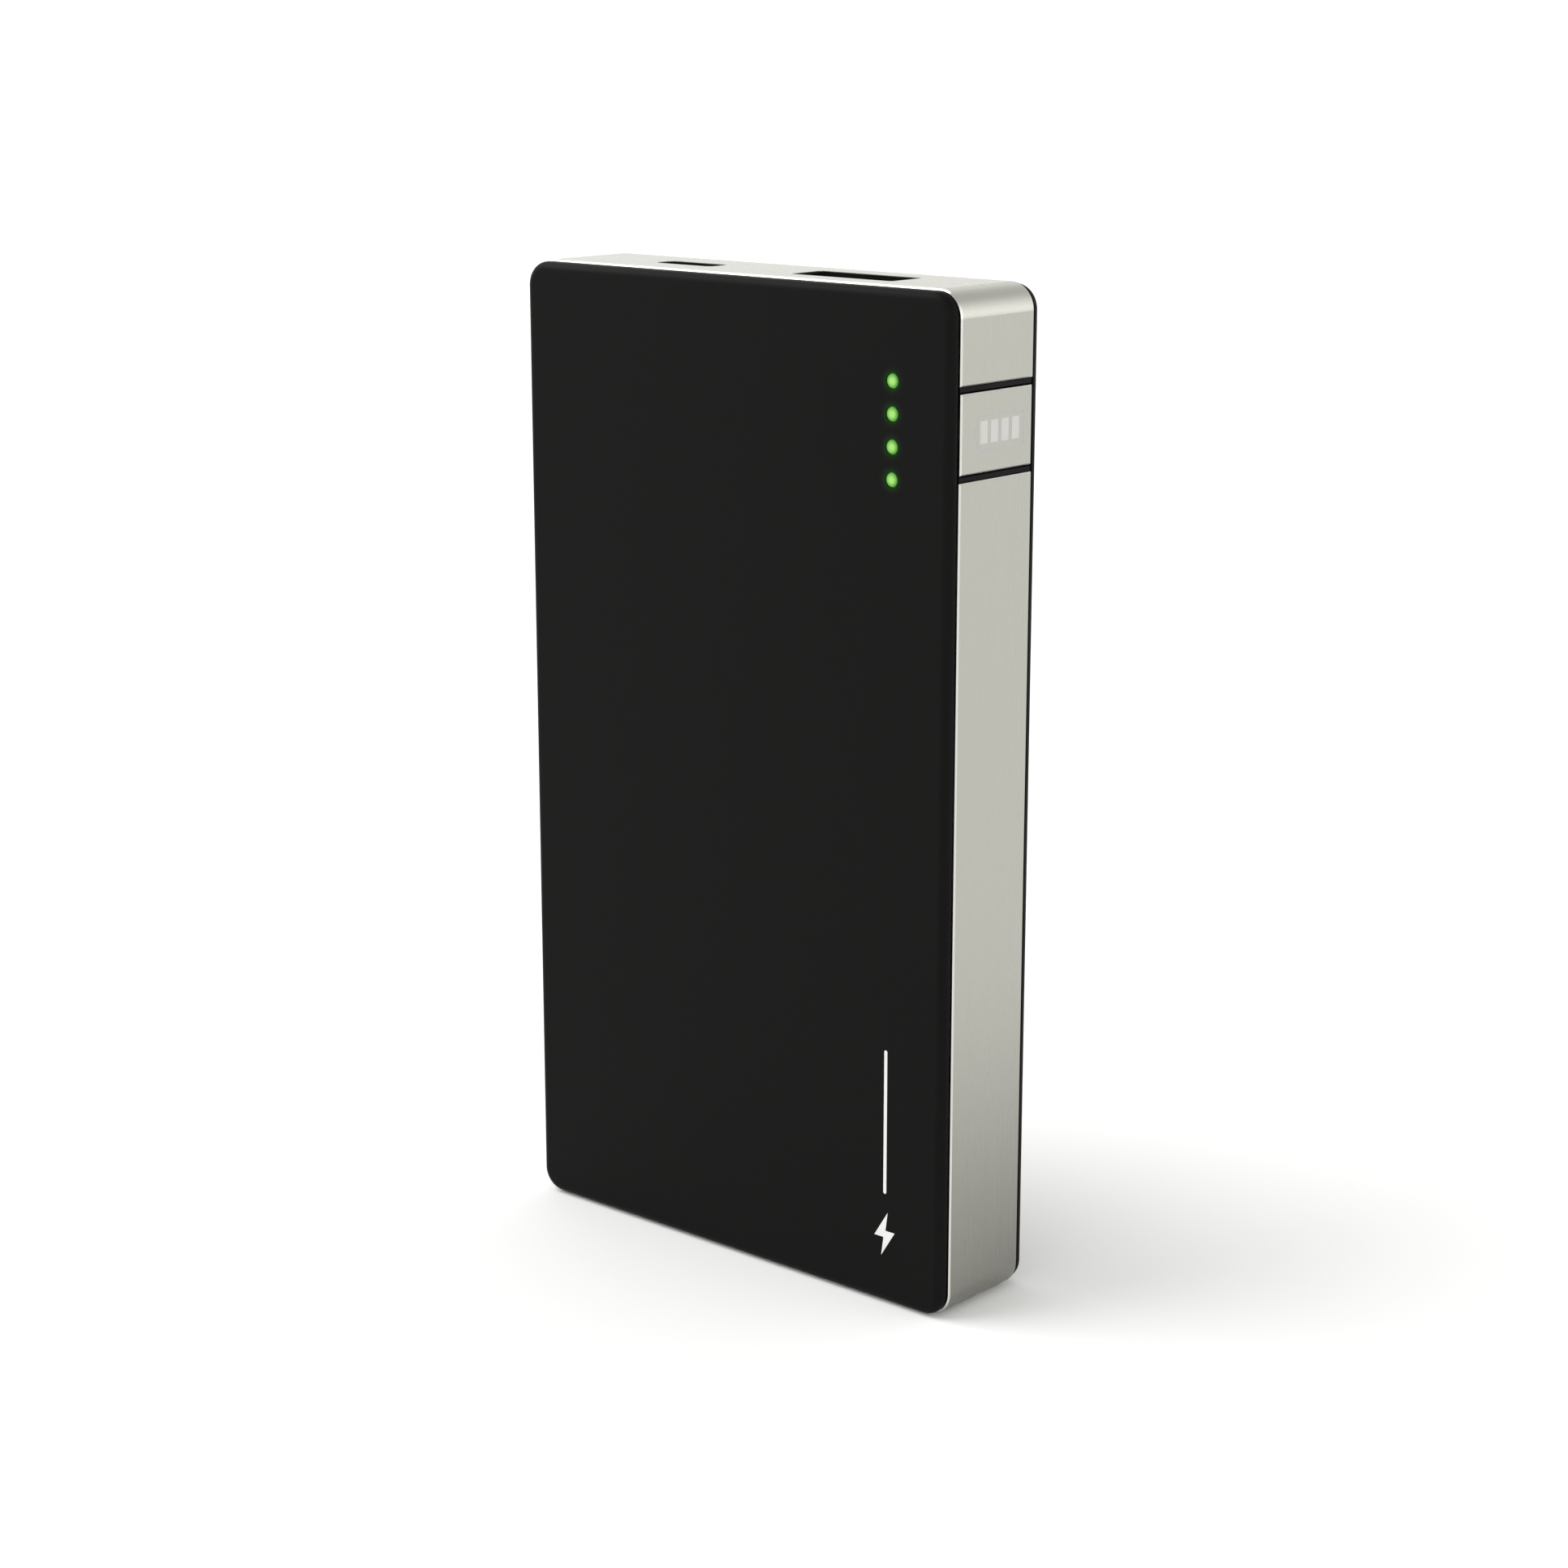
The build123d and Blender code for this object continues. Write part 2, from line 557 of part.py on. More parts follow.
with BuildPart() as usb_a_contacts:
    for dx in CONTACT_X:
        x = USB_A_X + dx
        y_face = TONGUE_BACK_Y - TONGUE[1]
        box_between(
            (x - 0.5, y_face - CONTACT_T / 2, USB_A_BASE_Z - 1.4),
            (x + 0.5, y_face + CONTACT_T / 2, TONGUE_TIP_Z - 0.8),
        )
        box_between((x - 0.35, BOARD_BACK_Y, USB_A_BASE_Z - 1.4), (x + 0.35, y_face, USB_A_BASE_Z - 1.1))
        box_between(
            (x - 0.35, BOARD_BACK_Y, USB_A_BASE_Z - 2.6),
            (x + 0.35, BOARD_BACK_Y + 0.2, USB_A_BASE_Z - 1.1),
        )
write(usb_a_contacts.part, "usb_a_contacts")

with BuildPart() as usb_a_insulator:
    box_between(
        (USB_A_X - USB_A_IN[0] / 2 + 0.05, PORT_Y - USB_A_IN[1] / 2 + 0.05, USB_A_BASE_Z - 0.6),
        (USB_A_X + USB_A_IN[0] / 2 - 0.05, PORT_Y + USB_A_IN[1] / 2 - 0.05, USB_A_BASE_Z + BLOCK_LENGTH),
    )
    fillet(usb_a_insulator.edges().filter_by(Axis.Z), 0.35)
    box_between(
        (USB_A_X - TONGUE[0] / 2, TONGUE_BACK_Y - TONGUE[1], USB_A_BASE_Z),
        (USB_A_X + TONGUE[0] / 2, TONGUE_BACK_Y, TONGUE_TIP_Z),
    )
    chamfer(usb_a_insulator.faces().sort_by(Axis.Z)[-1].edges().filter_by(Axis.X), 0.35)
    add(usb_a_contacts.part, mode=Mode.SUBTRACT)
write(usb_a_insulator.part, "usb_a_insulator")

# ---------------------------------------------------------------- micro-USB socket
MICRO_BODY = (7.5, 2.7)
MICRO_WALL = 0.25
MICRO_LENGTH = 5.3
MICRO_BASE_Z = SHELL_MOUTH_Z - MICRO_LENGTH
MICRO_SLOPE = 0.9


def micro_outline(grow, mode=Mode.ADD):
    """The socket's outline: two corners on the board's side are cut off."""
    half_x = MICRO_BODY[0] / 2 + grow
    low_y = PORT_Y - MICRO_BODY[1] / 2 - grow
    high_y = PORT_Y + MICRO_BODY[1] / 2 + grow
    Polygon(
        (MICRO_X - half_x + MICRO_SLOPE, low_y),
        (MICRO_X + half_x - MICRO_SLOPE, low_y),
        (MICRO_X + half_x, low_y + MICRO_SLOPE),
        (MICRO_X + half_x, high_y),
        (MICRO_X - half_x, high_y),
        (MICRO_X - half_x, low_y + MICRO_SLOPE),
        align=None,
        mode=mode,
    )


with BuildPart() as micro_usb_shell:
    with BuildSketch(Plane.XY.offset(MICRO_BASE_Z)):
        micro_outline(0)
        micro_outline(-MICRO_WALL, mode=Mode.SUBTRACT)
    extrude(amount=MICRO_LENGTH)
    for x_sign in (-1, 1):
        edge = MICRO_X + x_sign * MICRO_BODY[0] / 2
        x_pair = sorted((edge - x_sign * MICRO_WALL, edge + x_sign * 1.1))
        box_between(
            (x_pair[0], BOARD_BACK_Y, MICRO_BASE_Z + 1.0),
            (x_pair[1], BOARD_BACK_Y + 0.25, MICRO_BASE_Z + 2.8),
        )
        box_between(
            (min(edge, edge - x_sign * MICRO_WALL), BOARD_BACK_Y, MICRO_BASE_Z + 1.0),
            (max(edge, edge - x_sign * MICRO_WALL), PORT_Y, MICRO_BASE_Z + 2.8),
        )
write(micro_usb_shell.part, "micro_usb_shell")

MICRO_TONGUE = (3.6, 0.6)
MICRO_PINS = 5
MICRO_PITCH = 0.65
MICRO_TONGUE_Y = PORT_Y + 0.45

with BuildPart() as micro_usb_contacts:
    for i in range(MICRO_PINS):
        x = MICRO_X + (i - (MICRO_PINS - 1) / 2) * MICRO_PITCH
        face_y = MICRO_TONGUE_Y - MICRO_TONGUE[1] / 2
        box_between(
            (x - 0.15, face_y - 0.1, MICRO_BASE_Z - 0.5),
            (x + 0.15, face_y + 0.06, SHELL_MOUTH_Z - 1.4),
        )
        box_between(
            (x - 0.15, BOARD_BACK_Y, MICRO_BASE_Z - 0.7),
            (x + 0.15, face_y + 0.06, MICRO_BASE_Z - 0.5),
        )
        box_between(
            (x - 0.15, BOARD_BACK_Y, MICRO_BASE_Z - 1.5),
            (x + 0.15, BOARD_BACK_Y + 0.15, MICRO_BASE_Z - 0.5),
        )
write(micro_usb_contacts.part, "micro_usb_contacts")

with BuildPart() as micro_usb_insulator:
    with BuildSketch(Plane.XY.offset(MICRO_BASE_Z - 0.3)):
        micro_outline(-MICRO_WALL - 0.04)
    extrude(amount=1.5)
    box_between(
        (MICRO_X - MICRO_TONGUE[0] / 2, MICRO_TONGUE_Y - MICRO_TONGUE[1] / 2, MICRO_BASE_Z),
        (MICRO_X + MICRO_TONGUE[0] / 2, MICRO_TONGUE_Y + MICRO_TONGUE[1] / 2, SHELL_MOUTH_Z - 1.1),
    )
    add(micro_usb_contacts.part, mode=Mode.SUBTRACT)
write(micro_usb_insulator.part, "micro_usb_insulator")

# ---------------------------------------------------------------- charge lights
LED_SIZE = (1.25, 0.75, 2.0)
with BuildPart() as status_leds:
    for z in LIGHT_Z:
        box_between(
            (LIGHT_X - LED_SIZE[0] / 2, BOARD_FRONT_Y - LED_SIZE[1], z - LED_SIZE[2] / 2),
            (LIGHT_X + LED_SIZE[0] / 2, BOARD_FRONT_Y, z + LED_SIZE[2] / 2),
        )
write(status_leds.part, "status_leds")

ROD_START_Y = BOARD_FRONT_Y - LED_SIZE[1] - 0.15
ROD_TIP_Y = FRONT_Y + 0.02
GUIDE_BAR = (2.6, 1.0)
with BuildPart() as light_guide:
    with BuildSketch(from_front(ROD_START_Y)):
        with Locations(*((LIGHT_X, z) for z in LIGHT_Z)):
            Circle(LIGHT_D / 2)
    extrude(amount=ROD_START_Y - ROD_TIP_Y)
    tips = light_guide.faces().filter_by(Axis.Y).group_by(Axis.Y)[0]
    fillet(tips.edges(), 0.25)
    with BuildSketch(from_front(-BEHIND_COVER_Y + GUIDE_BAR[1] + 0.03)):
        with Locations((LIGHT_X, BUTTON_Z)):
            SlotOverall((LIGHT_COUNT - 1) * LIGHT_PITCH + GUIDE_BAR[0], GUIDE_BAR[0], rotation=90)
    extrude(amount=GUIDE_BAR[1])
write(light_guide.part, "light_guide")

SHROUD_HALF_X = 1.85
with BuildPart() as light_shroud:
    box_between(
        (LIGHT_X - SHROUD_HALF_X, -BEHIND_COVER_Y + GUIDE_BAR[1] + 0.15, LIGHT_Z[0] - 1.85),
        (LIGHT_X + SHROUD_HALF_X, BOARD_FRONT_Y - 0.02, LIGHT_Z[-1] + 1.85),
    )
    with BuildSketch(from_front(0)):
        with Locations(*((LIGHT_X, z) for z in LIGHT_Z)):
            SlotOverall(2.6, 1.9, rotation=90)
    extrude(amount=DEPTH / 2, mode=Mode.SUBTRACT)
write(light_shroud.part, "light_shroud")

# ---------------------------------------------------------------- status switch
PLUNGER_TIP_X = NUB_TIP_X - 0.03
SWITCH_FACE_X = PLUNGER_TIP_X - 0.65
SWITCH_DEPTH = 2.7
SWITCH_HALF_Z = 2.35
PLUNGER_HALF = (0.5, 1.1)
PLUNGER_IN_X = SWITCH_FACE_X - 0.5
CAVITY_X = SWITCH_FACE_X - 1.5

with BuildPart() as switch_body:
    box_between(
        (SWITCH_FACE_X - SWITCH_DEPTH, BOARD_BACK_Y, BUTTON_Z - SWITCH_HALF_Z),
        (SWITCH_FACE_X, 2 * SWITCH_Y - BOARD_BACK_Y, BUTTON_Z + SWITCH_HALF_Z),
    )
    box_between(
        (SWITCH_FACE_X - 0.4, SWITCH_Y - PLUNGER_HALF[0] - 0.05, BUTTON_Z - PLUNGER_HALF[1] - 0.05),
        (SWITCH_FACE_X + 1, SWITCH_Y + PLUNGER_HALF[0] + 0.05, BUTTON_Z + PLUNGER_HALF[1] + 0.05),
        mode=Mode.SUBTRACT,
    )
    box_between(
        (CAVITY_X, SWITCH_Y - 0.85, BUTTON_Z - 1.7),
        (SWITCH_FACE_X - 0.35, SWITCH_Y + 0.85, BUTTON_Z + 1.7),
        mode=Mode.SUBTRACT,
    )
write(switch_body.part, "switch_body")

with BuildPart() as switch_plunger:
    box_between(
        (SWITCH_FACE_X - 0.4, SWITCH_Y - PLUNGER_HALF[0], BUTTON_Z - PLUNGER_HALF[1]),
        (PLUNGER_TIP_X, SWITCH_Y + PLUNGER_HALF[0], BUTTON_Z + PLUNGER_HALF[1]),
    )
    box_between(
        (PLUNGER_IN_X - 0.15, SWITCH_Y - PLUNGER_HALF[0] - 0.2, BUTTON_Z - PLUNGER_HALF[1] - 0.25),
        (SWITCH_FACE_X - 0.4, SWITCH_Y + PLUNGER_HALF[0] + 0.2, BUTTON_Z + PLUNGER_HALF[1] + 0.25),
    )
    fillet(switch_plunger.faces().sort_by(Axis.X)[-1].edges(), 0.12)
write(switch_plunger.part, "switch_plunger")

# The contact spring is a shallow metal arch that the plunger flattens.
DOME_T = 0.08
DOME_RISE = 0.5
DOME_HALF_Z = 1.5
with BuildPart() as switch_dome:
    with BuildSketch(Plane.XZ.offset(-SWITCH_Y - 0.6)):
        apex_x = PLUNGER_IN_X - 0.2
        with BuildLine():
            ThreePointArc(
                (apex_x - DOME_RISE, BUTTON_Z - DOME_HALF_Z),
                (apex_x, BUTTON_Z),
                (apex_x - DOME_RISE, BUTTON_Z + DOME_HALF_Z),
            )
            Line(
                (apex_x - DOME_RISE, BUTTON_Z + DOME_HALF_Z),
                (apex_x - DOME_RISE - DOME_T, BUTTON_Z + DOME_HALF_Z),
            )
            ThreePointArc(
                (apex_x - DOME_RISE - DOME_T, BUTTON_Z + DOME_HALF_Z),
                (apex_x - DOME_T, BUTTON_Z),
                (apex_x - DOME_RISE - DOME_T, BUTTON_Z - DOME_HALF_Z),
            )
            Line(
                (apex_x - DOME_RISE - DOME_T, BUTTON_Z - DOME_HALF_Z),
                (apex_x - DOME_RISE, BUTTON_Z - DOME_HALF_Z),
            )
        make_face()
    extrude(amount=1.2)
write(switch_dome.part, "switch_dome")


# ---------------------------------------------------------------- components on the board
def on_front(x, z, size_x, size_z, height, lift=0.0):
    """A component's body on the front of the board, in the part that is being built."""
    y = BOARD_FRONT_Y - lift
    box_between((x - size_x / 2, y - height, z - size_z / 2), (x + size_x / 2, y, z + size_z / 2))


def on_back(x, z, size_x, size_z, height, lift=0.0):
    """The same on the back of the board."""
    y = BOARD_BACK_Y + lift
    box_between((x - size_x / 2, y, z - size_z / 2), (x + size_x / 2, y + height, z + size_z / 2))


LEG_T = 0.2


def add_legs_front(x, z, count, pitch, half_span, foot=0.6):
    """Gull-wing legs down both sides of a component on the front, as short stepped feet."""
    for i in range(count):
        leg_z = z + (i - (count - 1) / 2) * pitch
        for sign in (-1, 1):
            near = x + sign * half_span
            x_pair = sorted((near, near + sign * foot))
            box_between(
                (x_pair[0], BOARD_FRONT_Y - LEG_T, leg_z - 0.2),
                (x_pair[1], BOARD_FRONT_Y, leg_z + 0.2),
            )
            step = sorted((near, near + sign * LEG_T))
            box_between((step[0], BOARD_FRONT_Y - 0.7, leg_z - 0.2), (step[1], BOARD_FRONT_Y, leg_z + 0.2))


INDUCTOR_SIZE = 6.8
INDUCTOR_X = -1.0
INDUCTOR_Z = 101.4
with BuildPart() as boost_inductor:
    on_back(INDUCTOR_X, INDUCTOR_Z, INDUCTOR_SIZE, INDUCTOR_SIZE, 4.2, lift=0.1)
    fillet(boost_inductor.edges().filter_by(Axis.Y), 1.2)
    fillet(boost_inductor.faces().sort_by(Axis.Y)[-1].edges(), 0.3)
write(boost_inductor.part, "boost_inductor")

with BuildPart() as inductor_terminals:
    for sign in (-1, 1):
        on_back(INDUCTOR_X + sign * 2.9, INDUCTOR_Z, 1.6, 2.6, 0.1)
write(inductor_terminals.part, "inductor_terminals")

with BuildPart() as power_controller:
    on_front(-13.0, 99.0, 5.0, 5.0, 0.85, lift=0.03)
    chamfer(power_controller.faces().sort_by(Axis.Y)[0].edges(), 0.1)
write(power_controller.part, "power_controller")

with BuildPart() as charger_chip:
    on_front(-21.5, 98.5, 3.9, 4.9, 1.4, lift=0.1)
    chamfer(charger_chip.faces().sort_by(Axis.Y)[0].edges(), 0.15)
write(charger_chip.part, "charger_chip")

with BuildPart() as charger_chip_legs:
    add_legs_front(-21.5, 98.5, 4, 1.27, 3.9 / 2, foot=0.9)
write(charger_chip_legs.part, "charger_chip_legs")

CERAMICS = (
    (-8.0, 94.6),
    (-5.6, 94.6),
    (-16.0, 104.0),
    (-13.0, 104.0),
    (-10.0, 104.0),
    (0.5, 98.0),
    (0.5, 101.6),
    (2.6, 98.0),
)
with BuildPart() as chip_capacitors:
    for x, z in CERAMICS:
        on_front(x, z, 1.6, 2.6, 1.2)
write(chip_capacitors.part, "chip_capacitors")

RESISTOR_ROWS = ((-24.5, 92.0, 4, 2.0), (-25.0, 104.0, 3, 2.0), (8.0, 91.6, 5, 1.9))
with BuildPart() as chip_resistors:
    for first_x, z, count, pitch in RESISTOR_ROWS:
        for i in range(count):
            on_front(first_x + i * pitch, z, 0.85, 1.6, 0.45)
write(chip_resistors.part, "chip_resistors")

with BuildPart() as tantalum_capacitors:
    for x, z in ((-10.5, 99.2), (-10.5, 93.6)):
        on_back(x, z, 7.3, 4.3, 2.8)
    fillet(tantalum_capacitors.faces().group_by(Axis.Y)[-1].edges(), 0.25)
write(tantalum_capacitors.part, "tantalum_capacitors")

with BuildPart() as protection_diode:
    on_back(0.0, 93.0, 4.3, 3.6, 2.1)
    chamfer(protection_diode.faces().sort_by(Axis.Y)[-1].edges(), 0.3)
write(protection_diode.part, "protection_diode")

# ---------------------------------------------------------------- pouch cell and its board
TERRACE_T = 0.35
TERRACE_TOP_Z = 84.8
with BuildPart() as battery_cell:
    box_between(
        (-CELL_WIDTH / 2, -CELL_T / 2, CELL_BASE_Z),
        (CELL_WIDTH / 2, CELL_T / 2, CELL_TOP_Z),
    )
    fillet(battery_cell.edges(), 1.4)
    box_between(
        (-CELL_WIDTH / 2 + 2, -TERRACE_T / 2, CELL_TOP_Z - 2),
        (CELL_WIDTH / 2 - 2, TERRACE_T / 2, TERRACE_TOP_Z),
    )
write(battery_cell.part, "battery_cell")

TAB_X = 11.0
TAB_T = 0.15
PCM_HALF_X = 17.0
PCM_T = 0.8
PCM_BACK_Y = -TERRACE_T / 2 - TAB_T
PCM_LOW_Z = 81.0
PCM_HIGH_Z = 84.6
with BuildPart() as cell_tabs:
    for x in (-TAB_X, TAB_X):
        box_between(
            (x - 2.5, PCM_BACK_Y, CELL_TOP_Z + 0.1),
            (x + 2.5, -TERRACE_T / 2, PCM_HIGH_Z - 0.4),
        )
write(cell_tabs.part, "cell_tabs")

with BuildPart() as protection_board:
    box_between(
        (-PCM_HALF_X, PCM_BACK_Y - PCM_T, PCM_LOW_Z),
        (PCM_HALF_X, PCM_BACK_Y, PCM_HIGH_Z),
    )
write(protection_board.part, "protection_board")

PCM_FRONT_Y = PCM_BACK_Y - PCM_T
with BuildPart() as protection_chips:
    for x, size_x in ((4.5, 3.0), (9.0, 3.0), (13.0, 1.6)):
        box_between(
            (x - size_x / 2, PCM_FRONT_Y - 0.9, 82.0),
            (x + size_x / 2, PCM_FRONT_Y, 83.8),
        )
write(protection_chips.part, "protection_chips")

with BuildPart() as insulation_tape:
    box_between(
        (-20.0, TERRACE_T / 2, CELL_TOP_Z + 0.3),
        (20.0, TERRACE_T / 2 + 0.08, TERRACE_TOP_Z - 0.1),
    )
write(insulation_tape.part, "insulation_tape")

PAD_SIZE = (38.0, 62.0)
PAD_T = BEHIND_COVER_Y - CELL_T / 2 - 0.05
for side, name in ((-1, "front_cell_pad"), (1, "back_cell_pad")):
    with BuildPart() as cell_pad:
        y_pair = sorted((side * (CELL_T / 2 + 0.02), side * (CELL_T / 2 + PAD_T)))
        middle_z = CELL_BASE_Z + CELL_LENGTH / 2
        box_between(
            (-PAD_SIZE[0] / 2, y_pair[0], middle_z - PAD_SIZE[1] / 2),
            (PAD_SIZE[0] / 2, y_pair[1], middle_z + PAD_SIZE[1] / 2),
        )
        fillet(cell_pad.edges().filter_by(Axis.Y), 2.0)
    write(cell_pad.part, name)

# ---------------------------------------------------------------- leads from the cell to the board
LEAD_D = 1.2
LEAD_ROUTES = {
    "negative_lead": (-10.5, -7.0),
    "positive_lead": (-5.5, -3.2),
}


def lead_points(start_x, end_x):
    """Points of one lead, from its pad on the protection board up to its pad on the main board."""
    low_y = PCM_FRONT_Y - LEAD_D / 2 - 0.03
    high_y = BOARD_FRONT_Y - LEAD_D / 2 - 0.03
    bow_y = -3.7
    return [
        (start_x, low_y, 81.6),
        (start_x, low_y, 83.6),
        (start_x + (end_x - start_x) * 0.3, bow_y, 85.7),
        (start_x + (end_x - start_x) * 0.7, bow_y, 87.9),
        (end_x, high_y, 90.0),
        (end_x, high_y, 92.0),
    ]


def tangent_radii(points):
    """The arc at each inner point: 0.45 of the shorter run over the tangent of half the turn."""
    vectors = [Vector(*b) - Vector(*a) for a, b in zip(points, points[1:])]
    radii = []
    for before, after in zip(vectors, vectors[1:]):
        half_turn = before.get_angle(after) / 2
        tangent = Vector(0, 1, 0).rotate(Axis.Z, half_turn)
        radii.append(0.45 * min(before.length, after.length) * abs(tangent.Y / tangent.X))
    return radii


for name, (start_x, end_x) in LEAD_ROUTES.items():
    points = lead_points(start_x, end_x)
    radii = tangent_radii(points)
    print(name, "arc radii", [round(r, 2) for r in radii])
    with BuildPart() as lead:
        with BuildLine() as route:
            FilletPolyline(*points, radius=radii)
        with BuildSketch(Plane(origin=points[0], z_dir=(0, 0, 1))):
            Circle(LEAD_D / 2)
        sweep()
    print(name, "volume", round(lead.part.volume, 3), "section x length",
          round(3.14159265 * LEAD_D**2 / 4 * route.wire().length, 3))
    write(lead.part, name)
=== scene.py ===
import math

import bmesh
import bpy
from bpy.props import FloatProperty, FloatVectorProperty, PointerProperty
from bpy.types import Operator, Panel, PropertyGroup
from mathutils import Matrix, Vector


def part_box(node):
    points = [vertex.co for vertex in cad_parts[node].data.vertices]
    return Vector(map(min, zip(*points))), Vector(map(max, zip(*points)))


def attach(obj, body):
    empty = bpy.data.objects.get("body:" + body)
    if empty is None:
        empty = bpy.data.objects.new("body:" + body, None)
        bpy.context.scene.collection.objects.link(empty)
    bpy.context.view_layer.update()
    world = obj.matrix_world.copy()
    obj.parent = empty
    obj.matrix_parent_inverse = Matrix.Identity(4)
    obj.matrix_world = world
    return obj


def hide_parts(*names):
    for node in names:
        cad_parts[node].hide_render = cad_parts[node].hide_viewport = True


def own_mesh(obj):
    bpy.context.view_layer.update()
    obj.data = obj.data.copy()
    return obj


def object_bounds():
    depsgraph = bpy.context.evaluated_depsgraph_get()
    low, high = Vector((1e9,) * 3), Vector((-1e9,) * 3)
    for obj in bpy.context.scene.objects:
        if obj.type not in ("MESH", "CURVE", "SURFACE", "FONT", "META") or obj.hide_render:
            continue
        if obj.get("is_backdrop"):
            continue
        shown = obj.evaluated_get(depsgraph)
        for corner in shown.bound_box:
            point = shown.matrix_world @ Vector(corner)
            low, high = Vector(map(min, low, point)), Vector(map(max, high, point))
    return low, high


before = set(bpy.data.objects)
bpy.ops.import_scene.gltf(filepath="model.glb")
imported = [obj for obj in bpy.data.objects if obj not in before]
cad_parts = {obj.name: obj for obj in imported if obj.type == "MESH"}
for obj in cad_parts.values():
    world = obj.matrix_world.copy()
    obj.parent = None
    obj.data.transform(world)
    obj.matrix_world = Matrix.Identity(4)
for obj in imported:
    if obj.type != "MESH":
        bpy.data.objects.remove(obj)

bl_info = {
    "name": "Slim Power Bank",
    "version": (1, 0, 0),
    "blender": (4, 5, 0),
    "location": "3D View > Sidebar > Power Bank",
    "description": "Finishes and small pieces of a slim two-socket power bank",
    "category": "Object",
}

# ------- places taken from the frame
MM = 0.001
CASE_LOW, CASE_HIGH = (Vector(corner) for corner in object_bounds())


def span(node):
    """The lowest and highest corners of a CAD node, as vectors in metres."""
    low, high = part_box(node)
    return Vector(low), Vector(high)


def middle(node):
    """The middle of a CAD node's box."""
    low, high = span(node)
    return (low + high) / 2


LED_LOW, LED_HIGH = span("status_leds")
LIGHT_COUNT = 4
LED_LENGTH = 2.0 * MM
LIGHT_PITCH = (LED_HIGH.z - LED_LOW.z - LED_LENGTH) / (LIGHT_COUNT - 1)
LIGHT_X = middle("status_leds").x
FIRST_LIGHT_Z = LED_LOW.z + LED_LENGTH / 2
BAND_HALF_WIDTH = span("metal_band")[1].y
CAP_LOW, CAP_HIGH = span("button_cap")

# ------- sizes that the frame doesn't give
BEVEL = 0.17 * MM           # polished bevel of the band and the button
RIB_GAP = 0.78 * MM         # from the button's ends to the band's cut ends
DOME_T = 0.08 * MM          # thickness of the contact dome
LEAD_RADIUS = 0.6 * MM
GLOW_REACH = 1.9 * MM       # how far a charge light's glow shows on the cover
CORE_REACH = 0.85 * MM      # from the middle of a charge light to its rim
EDGE_SLACK = 0.01 * MM      # keeps the mask of the bevels off the faces beside them
MERGE_DIST = 0.001 * MM     # points nearer than this are one point
BRUSH_LINES, BRUSH_LENGTH = 9000.0, 16.0
INK_GRAIN = {"grains": 2600.0, "drift": 500.0, "strength": 0.1, "depth": 0.01 * MM}


# ------- shader groups
def group_tree(name, inputs, outputs):
    """A new shader group with those named sockets, and its two end nodes."""
    tree = bpy.data.node_groups.new(name, "ShaderNodeTree")
    for label, kind, default in inputs:
        socket = tree.interface.new_socket(label, in_out="INPUT", socket_type=kind)
        socket.default_value = default
    for label, kind in outputs:
        tree.interface.new_socket(label, in_out="OUTPUT", socket_type=kind)
    return tree, tree.nodes.new("NodeGroupInput"), tree.nodes.new("NodeGroupOutput")


def add_node(tree, kind, settings=None, **values):
    """A node of that kind. settings are its options, and values go to inputs, by name or link."""
    node = tree.nodes.new(kind)
    for option, value in (settings or {}).items():
        setattr(node, option, value)
    for label, value in values.items():
        key = int(label[1:]) if label[0] == "i" and label[1:].isdigit() else label.replace("_", " ")
        socket = node.inputs[key]
        if isinstance(value, bpy.types.NodeSocket):
            tree.links.new(value, socket)
        else:
            socket.default_value = value
    return node


def maths(tree, operation, first, second=None, third=None, clamp=False):
    """The result socket of one Math node."""
    node = tree.nodes.new("ShaderNodeMath")
    node.operation = operation
    node.use_clamp = clamp
    for socket, value in zip(node.inputs, (first, second, third)):
        if isinstance(value, bpy.types.NodeSocket):
            tree.links.new(value, socket)
        elif value is not None:
            socket.default_value = value
    return node.outputs[0]


def object_place(tree, scale=None):
    """Object coordinates in metres, or stretched by a Mapping node."""
    place = tree.nodes.new("ShaderNodeTexCoord").outputs["Object"]
    if scale is None:
        return place
    mapping = add_node(tree, "ShaderNodeMapping", Vector=place)
    if isinstance(scale, bpy.types.NodeSocket):
        tree.links.new(scale, mapping.inputs["Scale"])
    else:
        mapping.inputs["Scale"].default_value = scale
    return mapping.outputs["Vector"]


def object_parts(tree):
    """The X, Y and Z sockets of the Object coordinates, by name."""
    return add_node(tree, "ShaderNodeSeparateXYZ", i0=object_place(tree)).outputs


def moulded_grain():
    """Fine grain of moulded or soft-coated plastic, and slow drifts of tone over it."""
    tree, start, end = group_tree(
        "Moulded Grain",
        [("Grains", "NodeSocketFloat", 5200.0), ("Drift", "NodeSocketFloat", 60.0)],
        [("Height", "NodeSocketFloat"), ("Tone", "NodeSocketFloat")],
    )
    place = object_place(tree)
    fine = add_node(tree, "ShaderNodeTexNoise", Vector=place, Scale=start.outputs["Grains"], Detail=3.0,
                    Roughness=0.6)
    cells = add_node(tree, "ShaderNodeTexVoronoi", {"feature": "SMOOTH_F1"}, Vector=place,
                     Scale=maths(tree, "MULTIPLY", start.outputs["Grains"], 0.6))
    slow = add_node(tree, "ShaderNodeTexNoise", Vector=place, Scale=start.outputs["Drift"], Detail=4.0,
                    Roughness=0.55)
    height = maths(tree, "MULTIPLY_ADD", cells.outputs["Distance"], 0.5, fine.outputs[0])
    tree.links.new(height, end.inputs["Height"])
    tree.links.new(slow.outputs[0], end.inputs["Tone"])
    return tree


